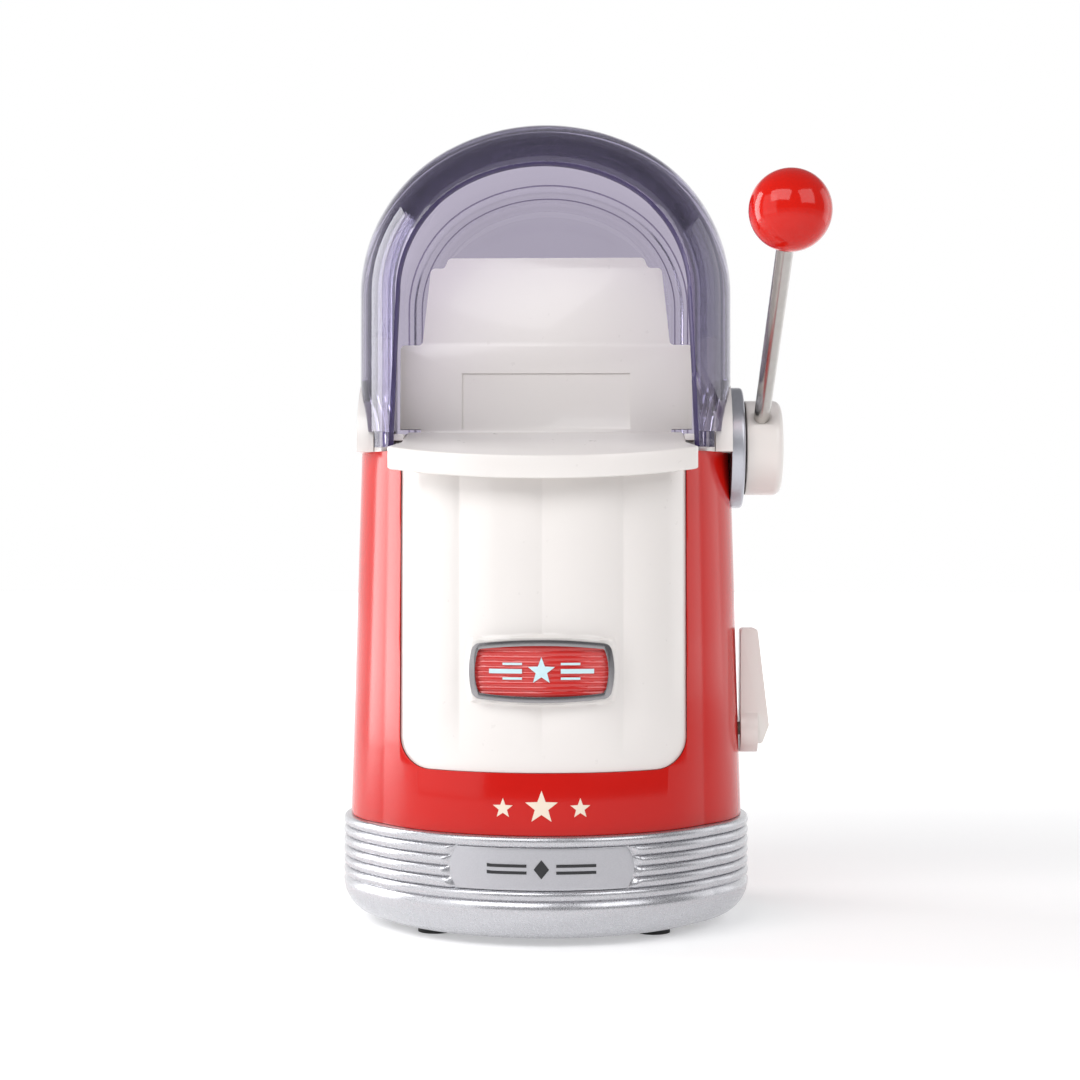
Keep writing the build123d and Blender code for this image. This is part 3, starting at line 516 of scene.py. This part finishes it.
def body_sizes(z):
    share = (z - body_low_z) / (body_top_z - body_low_z)

    def between(a, b):
        return tuple(p + share * (q - p) for p, q in zip(a, b))

    return between(body_low_half, body_top_half), between(body_low_notch, body_top_notch)


def body_outline(z, inset):
    half, notch = body_sizes(z)
    return lobed_outline(half[0], half[1], notch, inset)


def at_height(outline, z):
    return lambda i: Vector((*outline(i), z))


# %% [markdown]
# ## Ribbed base
# Six round beads run round the base, and the middle four stop either side of the name
# plate with their ends rolled in. The pan curves under below them. One profile of (height,
# inset) pairs makes it; where the plate lies, the inset is pulled back to the plate's seat.

# %% Base
rib_count = 6
rib_low = 21.5 * MM
rib_pitch = (high("base_pan").z - rib_low) / rib_count
rib_deep = 1.9 * MM
plate_seat = 2.4 * MM
pan_low = low("base_pan").z
pan_round = 16.5 * MM
wall = 2.5 * MM


def smooth_step(x):
    x = min(max(x, 0.0), 1.0)
    return x * x * (3 - 2 * x)


def plate_half(z):
    """Half width of the plate: barrel ends, widest between the middle ribs."""
    mid = (low("name_plate").z + high("name_plate").z) / 2
    across = (z - mid) / ((high("name_plate").z - low("name_plate").z) / 2)
    return 38.6 * MM + 3.2 * MM * (1 - min(1.0, across * across))


def base_ring(z, inset, in_plate_rows):
    open_outline = lobed_outline(*base_half, base_notch, inset)
    seat_outline = lobed_outline(*base_half, base_notch, plate_seat)

    def place(i):
        x, y = open_outline(i)
        if in_plate_rows and y < 0:
            share = 1 - smooth_step((abs(x) - plate_half(z)) / (2.6 * MM))
            sx, sy = seat_outline(i)
            x, y = x + share * (sx - x), y + share * (sy - y)
        return Vector((x, y, z))

    return place


def base_profile():
    rows = []
    for step in range(11):
        turn = math.pi / 2 * step / 10
        rows.append((pan_low + pan_round * (1 - math.cos(turn)), pan_round * (1 - math.sin(turn)), 0))
    for rib in range(rib_count):
        plated = 1 <= rib <= rib_count - 2
        start = rib_low + rib * rib_pitch
        for step in range(9):
            turn = math.pi * (step / 8 - 0.5)
            z = start + rib_pitch / 2 * (1 + math.sin(turn) * 0.985)
            rows.append((z, rib_deep * (1 - math.cos(turn) ** 0.8), plated))
    return rows


def round_hole(radius, z):
    """The outline's vertices pulled onto a circle, so that the floor can end at the grille."""
    outline = lobed_outline(*base_half, base_notch, 0.0)

    def place(i):
        way = Vector(outline(i)).normalized() * radius
        return Vector((way.x, way.y, z))

    return place


def base_wall(z, inset):
    return at_height(lobed_outline(*base_half, base_notch, inset), z)


grille_hole = (high("intake_grille").x - low("intake_grille").x) / 2 - 2.9 * MM
top_z = high("base_pan").z
ledge = 6.2 * MM
inner_round = pan_round - wall
bm = bmesh.new()
ring = first_ring(bm, SEGMENTS, round_hole(grille_hole, pan_low))
for z, inset, plated in base_profile():
    ring = lift(bm, ring, base_ring(z, inset, plated))
ring = lift(bm, ring, base_wall(top_z - 0.1 * MM, ledge))
for step in range(8, -1, -1):
    turn = math.pi / 2 * step / 8
    ring = lift(bm, ring, base_wall(pan_low + wall + inner_round * (1 - math.cos(turn)),
                                    ledge + inner_round * (1 - math.sin(turn))))
ring = lift(bm, ring, round_hole(grille_hole, pan_low + wall))
ring = lift(bm, ring, round_hole(grille_hole, pan_low))
facing_out(bm)
base = to_piece("base_ribbed_pan", bm, silver_lacquer, "base_pan", ["base_pan"], 50.0)


# %% Screw sockets and the hole for the cord gland
def drum(bm, radius, start, axis, depth, segments=48):
    """Add a closed cylinder to bm, from start along axis."""
    way = Vector(axis)
    turn = Vector((0, 0, 1)).rotation_difference(way).to_matrix().to_4x4()
    place = Matrix.Translation(Vector(start) + way * (depth / 2)) @ turn
    bmesh.ops.create_cone(bm, cap_ends=True, segments=segments, radius1=radius, radius2=radius,
                          depth=depth, matrix=place)


screw_head = 3.4 * MM
gland_mid = middle("cord_gland")
bm = bmesh.new()
for side_x in (-1, 1):
    for side_y in (-1, 1):
        spot = ((high("base_screws").x - screw_head) * side_x,
                (high("base_screws").y - screw_head) * side_y, pan_low - 2 * MM)
        drum(bm, screw_head + 0.3 * MM, spot, (0, 0, 1), 12 * MM)
drum(bm, 6.0 * MM, (gland_mid.x, 0.062, gland_mid.z), (0, 1, 0), 40 * MM)
cut_away(base, bm)
settle(base, 50.0)
print("base faces", len(base.data.polygons))

# %% [markdown]
# ## Red body
# The body is a wall that leans in a little towards the top, open at the front for the fluted
# panel. The rings go up the outside, over the rim and down the inside, and a block with two
# rounded corners then cuts the opening.

# %% Body
shell_wall = 2.5 * MM
front_half = 65 * MM
front_low = 77.4 * MM
front_corner = 14 * MM


def opening_tool(half, z_low, z_high, corner):
    bm = box_mesh(-half, half, -0.12, -0.03, z_low, z_high)
    low_edges = [e for e in bm.edges
                 if abs(e.verts[0].co.y - e.verts[1].co.y) > 0.01 and e.verts[0].co.z < z_low + MM]
    bmesh.ops.bevel(bm, geom=low_edges, offset=corner, affect="EDGES", segments=16, profile=0.5,
                    material=-1)
    return bm


bm = bmesh.new()
levels = [body_low_z + (body_top_z - body_low_z) * step / 12 for step in range(13)]
ring = first_ring(bm, SEGMENTS, at_height(body_outline(levels[0], 0.3 * MM), levels[0]))
for z in levels:
    ring = lift(bm, ring, at_height(body_outline(z, 0.0), z + (0.3 * MM if z == levels[0] else 0)))
ring = lift(bm, ring, at_height(body_outline(body_top_z, 0.5 * MM), body_top_z))
ring = lift(bm, ring, at_height(body_outline(body_top_z, shell_wall), body_top_z))
ring = lift(bm, ring, at_height(body_outline(body_low_z, shell_wall), levels[0]))
ring = lift(bm, ring, at_height(body_outline(levels[0], 0.3 * MM), levels[0]))
facing_out(bm)
body = to_piece("body_red_shell", bm, red_gloss, "body_shell", ["body_shell"])
cut_away(body, opening_tool(front_half, front_low, body_top_z + 0.02, front_corner))
ring_mid = middle("hub_escutcheon")
knob_mid = middle("knob_spindle")
bm = bmesh.new()
drum(bm, 29.1 * MM, (low("hub_escutcheon").x - 0.1 * MM, 0, ring_mid.z), (1, 0, 0), 20 * MM, 96)
drum(bm, 8.5 * MM, (60 * MM, 0, ring_mid.z), (1, 0, 0), 27 * MM)
drum(bm, 4.0 * MM, (70 * MM, 0, knob_mid.z), (1, 0, 0), 40 * MM)
cut_away(body, bm)
round_edges(body, 0.5 * MM, 50.0)
settle(body, 40.0)
print("body faces", len(body.data.polygons))

# %% [markdown]
# ## Fluted front panel
# Four shallow flutes meet in sharp valleys and die out towards the rounded bottom corners. A grid
# is set on the body's front arc, pushed out by the flutes, and lifted again under the badge.

# %% Panel
flute_valleys = [-64.8 * MM, -37 * MM, 0.0, 36 * MM, 64.8 * MM]
flute_deep = 1.9 * MM
panel_sink = 1.0 * MM
panel_half = 64.8 * MM
panel_low = front_low + 0.2 * MM
panel_top = high("chute_panel").z + 7.5 * MM     # it runs on up behind the lip
badge_mid = middle("badge_frame")
badge_half = ((high("badge_frame").x - low("badge_frame").x) / 2,
              (high("badge_frame").z - low("badge_frame").z) / 2)
pad_rise = 1.2 * MM


def front_y(x, z, out):
    """Where the front surface is at (x, z), pushed out by out from the panel's own arc."""
    half, notch = body_sizes(z)
    radius = arc_radius(half[1], notch[1], notch[0])
    reach = radius - panel_sink + out
    return -(half[1] - radius + math.sqrt(reach * reach - x * x))


def flute(x):
    for left, right in zip(flute_valleys, flute_valleys[1:]):
        if left <= x <= right:
            t = (2 * x - left - right) / (right - left)
            return flute_deep * (1 - t * t)
    return 0.0


def in_badge(x, z, grow):
    """1 inside the barrel outline of the badge, falling to 0 over its edge."""
    w, h = badge_half[0] + grow, badge_half[1] + grow
    u, v = x / w, (z - badge_mid.z) / h
    edge = max(abs(u) * (1 + 0.06 * v * v), abs(v) * (1 + 0.14 * u * u))
    return 1 - smooth_step((edge - 0.955) / 0.05)


def panel_point(u, v):
    z = panel_low + (panel_top - panel_low) * v ** 1.35
    above = z - panel_low
    reach = panel_half
    if above < front_corner:
        reach -= front_corner - math.sqrt(front_corner ** 2 - (front_corner - above) ** 2)
    x = max(-reach, min(reach, u * panel_half))
    fade = smooth_step((above - 3 * MM) / (26 * MM))
    out = fade * flute(x)
    pad = in_badge(x, z, 1.8 * MM)
    out += pad * (flute_deep + pad_rise - out)
    return Vector((x, front_y(x, z, out), z))


COLUMNS, ROWS = 200, 170
bm = bmesh.new()
sheet(bm, COLUMNS, ROWS, lambda i, j: panel_point(2 * i / COLUMNS - 1, j / ROWS))
bmesh.ops.remove_doubles(bm, verts=bm.verts[:], dist=5e-6)
bmesh.ops.recalc_face_normals(bm, faces=bm.faces[:])
facing_front(bm)
panel = to_piece("front_fluted_panel", bm, white_gloss, "chute_panel", ["chute_panel"])
thicken(panel, 2.4 * MM)
settle(panel, 55.0)
print("panel faces", len(panel.data.polygons))

# %% [markdown]
# ## Bubble dome
# An arch of an upright wall, a shoulder arc and a crown arc is moved backwards and let in or out
# as it goes, so both ends round over. A leaning cut makes the mouth, and the legs of the mouth
# hang below the collar. Solidify gives the wall, and its rim gets the darker look of an edge. The
# wall is 0.8 mm thicker here than in the CAD, on the inside only, so that the rim reads as a band.

# %% Dome
dome_wall = 3.3 * MM
dome_half = 87.6 * MM
crown_r, shoulder_r = 98 * MM, 78 * MM
dome_top = high("dome").z
front_round, rear_round = 45 * MM, 36 * MM
front_flat, rear_flat = -11 * MM, 22 * MM
seat_z = 230.3 * MM
leg_z = low("dome").z
leg_y = -38 * MM
mouth_y = -46 * MM
mouth_tilt = math.radians(2.2)
rear_beads, rear_bead_deep, rear_bead_wide = (19 * MM, 26 * MM), 1.7 * MM, 1.3 * MM
saddle_cut_r, saddle_cut_x = 33.5 * MM, 65 * MM
front_turn = math.radians(74)
WALL_STEPS, SHOULDER_STEPS, CROWN_STEPS = 14, 26, 26
FRONT_STEPS, FLAT_STEPS, REAR_STEPS = 21, 5, 60


def arch_point(i, inset):
    half_count = WALL_STEPS + SHOULDER_STEPS + CROWN_STEPS
    side = 1 if i <= half_count else -1
    step = i if i <= half_count else 2 * half_count - i
    crown_z = dome_top - crown_r
    shoulder_x = dome_half - shoulder_r
    shoulder_z = crown_z + math.sqrt((crown_r - shoulder_r) ** 2 - shoulder_x ** 2)
    meet = math.atan2(shoulder_z - crown_z, shoulder_x)
    if step <= WALL_STEPS:
        x, z = dome_half - inset, leg_z + (shoulder_z - leg_z) * step / WALL_STEPS
    elif step <= WALL_STEPS + SHOULDER_STEPS:
        turn = meet * (step - WALL_STEPS) / SHOULDER_STEPS
        x = shoulder_x + (shoulder_r - inset) * math.cos(turn)
        z = shoulder_z + (shoulder_r - inset) * math.sin(turn)
    else:
        turn = meet + (math.pi / 2 - meet) * (step - WALL_STEPS - SHOULDER_STEPS) / CROWN_STEPS
        x = (crown_r - inset) * math.cos(turn)
        z = crown_z + (crown_r - inset) * math.sin(turn)
    return side * x, z


def arch_at(y, inset):
    return lambda i: Vector((arch_point(i, inset)[0], y, arch_point(i, inset)[1]))


bm = bmesh.new()
count = 2 * (WALL_STEPS + SHOULDER_STEPS + CROWN_STEPS) + 1
stations = []
for step in range(FRONT_STEPS + 1):
    turn = front_turn * (1 - step / FRONT_STEPS)
    stations.append((front_flat - front_round * math.sin(turn), front_round * (1 - math.cos(turn))))
for step in range(1, FLAT_STEPS):
    stations.append((front_flat + (rear_flat - front_flat) * step / FLAT_STEPS, 0.0))
for step in range(REAR_STEPS + 1):
    turn = math.pi / 2 * step / REAR_STEPS
    inset = rear_round * (1 - math.cos(turn))
    bead = sum(math.exp(-((inset - at) / rear_bead_wide) ** 2) for at in rear_beads)
    stations.append((rear_flat + rear_round * math.sin(turn) - rear_bead_deep * bead, inset))
chain = first_ring(bm, count, arch_at(*stations[0]), False)
for y, inset in stations[1:]:
    chain = lift(bm, chain, arch_at(y, inset), False)
bmesh.ops.contextual_create(bm, geom=chain)
mouth_normal = Vector((0, -math.cos(mouth_tilt), -math.sin(mouth_tilt)))
for spot, way, clear in (((0, mouth_y, 230 * MM), mouth_normal, True),
                         ((0, 0, seat_z), (0, 0, 1), False), ((0, leg_y, 0), (0, 1, 0), False)):
    everything = bm.verts[:] + bm.edges[:] + bm.faces[:]
    bmesh.ops.bisect_plane(bm, geom=everything, plane_co=spot, plane_no=way, clear_outer=clear)
under = [f for f in bm.faces if f.calc_center_median().z < seat_z and f.calc_center_median().y > leg_y
         and f.calc_center_median().y < rear_flat + rear_round - 0.1 * MM]
under += [f for f in bm.faces if f not in under and f.calc_center_median().z < seat_z
          and f.calc_center_median().y > 0]
bmesh.ops.delete(bm, geom=under, context="FACES")
facing_out(bm)
if sum(f.normal.z * f.calc_area() for f in bm.faces) < 0:
    bmesh.ops.reverse_faces(bm, faces=bm.faces[:])
dome = to_piece("clear_dome", bm, [smoky_dome, dark_rim], "dome", ["dome"], 60.0)
thicken(dome, dome_wall)
dome.modifiers["wall"].material_offset_rim = 1
settle(dome, 60.0)
for side in (-1, 1):
    bm = bmesh.new()
    drum(bm, saddle_cut_r, (side * saddle_cut_x, 0, ring_mid.z), (side, 0, 0), 60 * MM, 128)
    cut_away(dome, bm)
round_edges(dome, 0.5 * MM, 60.0)
settle(dome, 60.0)
print("dome faces", len(dome.data.polygons))

# %% [markdown]
# ## Mouldings that keep their CAD shape
# Their shape is right, but a machine-sharp edge never catches the light. Each is copied, merged,
# rid of the seams inside its flat faces, and most get their edges rounded by a fraction of a
# millimetre.


# %% Soft edges on CAD shapes
def dressed(node, name, finish, width, angle=35.0, segments=3):
    bm = bmesh.new()
    bm.from_mesh(frame["nodes"][node].data)
    bmesh.ops.remove_doubles(bm, verts=bm.verts[:], dist=2e-6)
    bmesh.ops.dissolve_limit(bm, angle_limit=math.radians(0.6), verts=bm.verts[:],
                             edges=bm.edges[:])
    piece = to_piece(name, bm, finish, node, [node])
    if width:
        round_edges(piece, width, angle, segments)
        settle(piece)
    return piece


dressed("deck", "deck_moulding", white_gloss, 0.5 * MM)
dressed("serving_ramp", "ramp_and_lip", white_gloss, 0.9 * MM)
dressed("gate", "gate_paddle", white_gloss, 0.6 * MM)
dressed("hub_escutcheon", "hub_ring", ring_lacquer, 0.0)
dressed("lever_hub", "lever_hub_boss", knob_white, 0.0)
dressed("power_knob", "power_knob_grip", knob_white, 1.1 * MM)
dressed("badge_frame", "badge_rim", badge_chrome, 0.7 * MM)
dressed("lever_rod", "lever_rod_steel", rod_steel, 0.0)

# %% [markdown]
# ## Ball
# The ball is turned from half a circle. It has a small flat where the rod enters and the hairline
# that a two-part mould leaves round it.

# %% Ball
ball_mid = middle("ball_knob")
ball_r = (high("ball_knob").z - low("ball_knob").z) / 2
rod_mid = middle("lever_rod")
rod_way = (ball_mid - rod_mid).normalized()
bm = bmesh.new()
flat = math.asin(5.2 * MM / ball_r)
profile = [Vector((3.8 * MM, 0, -ball_r * math.cos(flat) + 0.3 * MM))]
for step in range(73):
    turn = flat + (math.pi - flat) * step / 72
    groove = 0.04 * MM * math.exp(-((turn - math.pi / 2) / 0.012) ** 2)
    reach = ball_r - groove
    profile.append(Vector((reach * math.sin(turn), 0, -reach * math.cos(turn))))
chain = first_ring(bm, len(profile), lambda i: profile[i], False)
bmesh.ops.spin(bm, geom=bm.verts[:] + bm.edges[:], cent=(0, 0, 0), axis=(0, 0, 1),
               angle=2 * math.pi, steps=96, use_merge=True)
turn = Vector((0, 0, 1)).rotation_difference(rod_way).to_matrix().to_4x4()
bmesh.ops.transform(bm, matrix=Matrix.Translation(ball_mid) @ turn, verts=bm.verts[:])
facing_out(bm)
to_piece("lever_ball", bm, ball_gloss, "ball_knob", ["ball_knob"])

# %% [markdown]
# ## Name plate, badge and plain ornaments
# The real ones carry words. These carry none: a ribbed insert with a star and bars on the badge,
# bars and a diamond on the plate, and three stars on the red front.


# %% Stars, bars and printed shapes
CUTS, CUT_PITCH = 40, 2 * MM


def star(cx, cz, big, small, points=5):
    corners = []
    for k in range(2 * points):
        turn, reach = math.pi / 2 + math.pi * k / points, (small if k % 2 else big)
        corners.append((cx + reach * math.cos(turn), cz + reach * math.sin(turn)))
    return corners


def printed(name, outlines, surface, finish, node, rise):
    """Flat shapes cut finely, laid on a bowed surface, and given a little thickness."""
    bm = bmesh.new()
    for outline in outlines:
        bm.faces.new([bm.verts.new((x, 0, z)) for x, z in outline])
    for k in range(-CUTS, CUTS + 1):
        geom = bm.verts[:] + bm.edges[:] + bm.faces[:]
        bmesh.ops.bisect_plane(bm, geom=geom, plane_co=(k * CUT_PITCH, 0, 0), plane_no=(1, 0, 0))
    for vert in bm.verts:
        vert.co.y = surface(vert.co.x, vert.co.z)
    bmesh.ops.recalc_face_normals(bm, faces=bm.faces[:])
    for face in bm.faces:
        if face.normal.y > 0:
            face.normal_flip()
    piece = to_piece(name, bm, finish, node)
    thicken(piece, rise, 1.0)
    settle(piece)
    return piece


def bar(x0, x1, z, thick):
    return [(x0, z - thick / 2), (x1, z - thick / 2), (x1, z + thick / 2), (x0, z + thick / 2)]


# %% Name plate
plate_mid = middle("name_plate")
plate_low, plate_high = low("name_plate").z, high("name_plate").z
plate_margin = 0.9 * MM      # gap between the plate's ends and the rolled rib ends
plate_inset = 1.25 * MM      # how far the plate lies inside the base's outline
PLATE_COLUMNS, PLATE_ROWS = 60, 16


def base_front_y(x, inset):
    radius = arc_radius(base_half[1], base_notch[1], base_notch[0])
    return -(base_half[1] - radius + math.sqrt((radius - inset) ** 2 - x * x))


def plate_point(i, j):
    z = plate_low + (plate_high - plate_low) * (j / PLATE_ROWS)
    x = (2 * i / PLATE_COLUMNS - 1) * (plate_half(z) - plate_margin)
    return Vector((x, base_front_y(x, plate_inset), z))


bm = bmesh.new()
sheet(bm, PLATE_COLUMNS, PLATE_ROWS, plate_point)
facing_front(bm)
plate = to_piece("name_plate_satin", bm, plate_lacquer, "name_plate", ["name_plate"])
thicken(plate, 1.0 * MM)
round_edges(plate, 0.35 * MM)
settle(plate)
mid_z = plate_mid.z
ornament = [[(-3.4 * MM, mid_z), (0, mid_z - 4.2 * MM), (3.4 * MM, mid_z), (0, mid_z + 4.2 * MM)]]
for side in (-1, 1):
    for offset in (-1.5, 1.5):
        ends = sorted((side * 6.5 * MM, side * (27 - 2 * abs(offset)) * MM))
        ornament.append(bar(*ends, mid_z + offset * MM, 1.3 * MM))
printed("plate_ornament", ornament, lambda x, z: base_front_y(x, plate_inset), dark_print,
        "name_plate", 0.3 * MM)

# %% Stars on the red front
def red_front_y(x, z):
    return front_y(x, z, panel_sink)


row_z = 62.5 * MM
stars = [star(0, row_z, 7.5 * MM, 3.1 * MM)]
for side in (-1, 1):
    stars.append(star(side * 17 * MM, row_z - 0.5 * MM, 4.6 * MM, 1.9 * MM))
printed("front_stars", stars, red_front_y, cream_print, "body_shell", 0.25 * MM)

# %% Badge insert with fine ribs and a star
insert_half = (badge_half[0] - 2.5 * MM, badge_half[1] - 2.5 * MM)
insert_out = flute_deep + pad_rise + 1.0 * MM
fine_rib_deep, fine_rib_pitch = 0.42 * MM, 2.25 * MM
INSERT_COLUMNS, INSERT_ROWS = 96, 88


def insert_point(i, j):
    u, v = 2 * i / INSERT_COLUMNS - 1, 2 * j / INSERT_ROWS - 1
    reach_x = insert_half[0] * (1 - 0.055 * v * v - 0.02 * v ** 8)
    reach_z = insert_half[1] * (1 - 0.13 * u * u - 0.03 * u ** 8)
    x, z = u * reach_x, badge_mid.z + v * reach_z
    rib = fine_rib_deep * abs(math.sin(math.pi * (z - badge_mid.z) / fine_rib_pitch)) ** 0.7
    return Vector((x, front_y(x, badge_mid.z, insert_out + rib), z))


bm = bmesh.new()
sheet(bm, INSERT_COLUMNS, INSERT_ROWS, insert_point)
facing_front(bm)
insert = to_piece("badge_ribbed_insert", bm, badge_red, "badge_insert", ["badge_insert"], 50.0)
thicken(insert, 0.8 * MM)
settle(insert, 50.0)
marks = [star(0, badge_mid.z, 6.2 * MM, 2.6 * MM)]
for side in (-1, 1):
    for reach, above, thick in ((23, 0.0, 2.0), (17, -3.2, 1.0), (17, 3.2, 1.0)):
        ends = sorted((side * 8.5 * MM, side * reach * MM))
        marks.append(bar(*ends, badge_mid.z + above * MM, thick * MM))
printed("badge_star", marks, lambda x, z: front_y(x, badge_mid.z, insert_out + 0.45 * MM),
        pale_print, "badge_insert", 0.35 * MM)

# %% [markdown]
# ## Stage, lights and camera
# A pale floor, large soft boxes on the left, weaker ones on the right, and surroundings that are
# white only low down behind the object, so that the gloss has something dark to show as well. The
# floor gives off some light, and more of it far behind, where it has to melt into the white.
# The camera is level with the middle of the body, about a metre away.

# %% Floor
bm = bmesh.new()
floor_half = 6.0
bmesh.ops.create_grid(bm, x_segments=2, y_segments=2, size=floor_half)
floor_mesh = bpy.data.meshes.new("floor")
bm.to_mesh(floor_mesh)
bm.free()
floor = bpy.data.objects.new("floor", floor_mesh)
scene.collection.objects.link(floor)
paper = Finish("paper")
far = ((paper.node("ShaderNodeSeparateXYZ", {}, {"Vector": paper.place}, 1) - 0.2) * 0.9).clipped()
floor_mesh.materials.append(paper.done(paper.surface(
    Base_Color=paper.blend(paper.noise(3.0), tint(0.90, 0.90, 0.90), tint(0.88, 0.88, 0.88)),
    Roughness=0.7, Emission_Strength=1.0,
    Emission_Color=paper.blend(far, tint(0.30, 0.30, 0.30), tint(1, 1, 1)))))


# %% Lights
def soft_box(name, turn, away, height, size, power, aim_height):
    """A box light at a compass angle from straight in front, turned to the object's axis."""
    light = bpy.data.lights.new(name, "AREA")
    light.shape = "RECTANGLE"
    light.size, light.size_y = size
    light.energy = power
    holder = bpy.data.objects.new(name, light)
    angle = math.radians(turn)
    holder.location = (away * math.sin(angle), -away * math.cos(angle), height)
    aim = Vector((0, 0, aim_height)) - holder.location
    holder.rotation_euler = aim.to_track_quat("-Z", "Y").to_euler()
    holder.visible_camera = False
    scene.collection.objects.link(holder)


soft_box("left_box", -58.0, 1.10, 0.55, (0.90, 1.0), 3.2, 0.55)
soft_box("left_strip", -104.0, 1.10, 0.56, (0.42, 1.1), 9.0, 0.56)
soft_box("right_box", 106.0, 1.20, 0.55, (0.60, 1.0), 1.8, 0.55)
soft_box("front_box", -28.0, 1.00, 0.95, (1.10, 0.6), 7.5, 0.20)
soft_box("right_front_box", 44.0, 1.15, 0.85, (0.80, 0.7), 4.5, 0.22)

# %% Pale surroundings: white low down behind the object, dim above and in front
sky = Finish("studio", bpy.data.worlds)
way = sky.node("ShaderNodeTexCoord", {}, {}, "Generated")
behind = (2.2 * sky.node("ShaderNodeSeparateXYZ", {}, {"Vector": way}, 1) - 0.3).clipped()
lowdown = (2.6 - 5.0 * sky.node("ShaderNodeSeparateXYZ", {}, {"Vector": way}, 2)).clipped()
white = sky.blend(behind * lowdown, tint(0.24, 0.24, 0.25), tint(1.0, 1.0, 1.0))
scene.world = sky.done(sky.node("ShaderNodeBackground", {}, {"Color": white}),
                       "ShaderNodeOutputWorld")
scene.view_settings.view_transform = "Standard"

# %% Camera
camera = bpy.data.cameras.new("camera")
camera.sensor_width = 36.0
camera.lens = 68.07
camera.clip_end = 50
eye = bpy.data.objects.new("camera", camera)
camera_turn = math.radians(1.5)
eye.location = (0.0228, -0.9797, 0.180)
eye.rotation_euler = (math.pi / 2, 0, camera_turn)
scene.collection.objects.link(eye)
scene.camera = eye
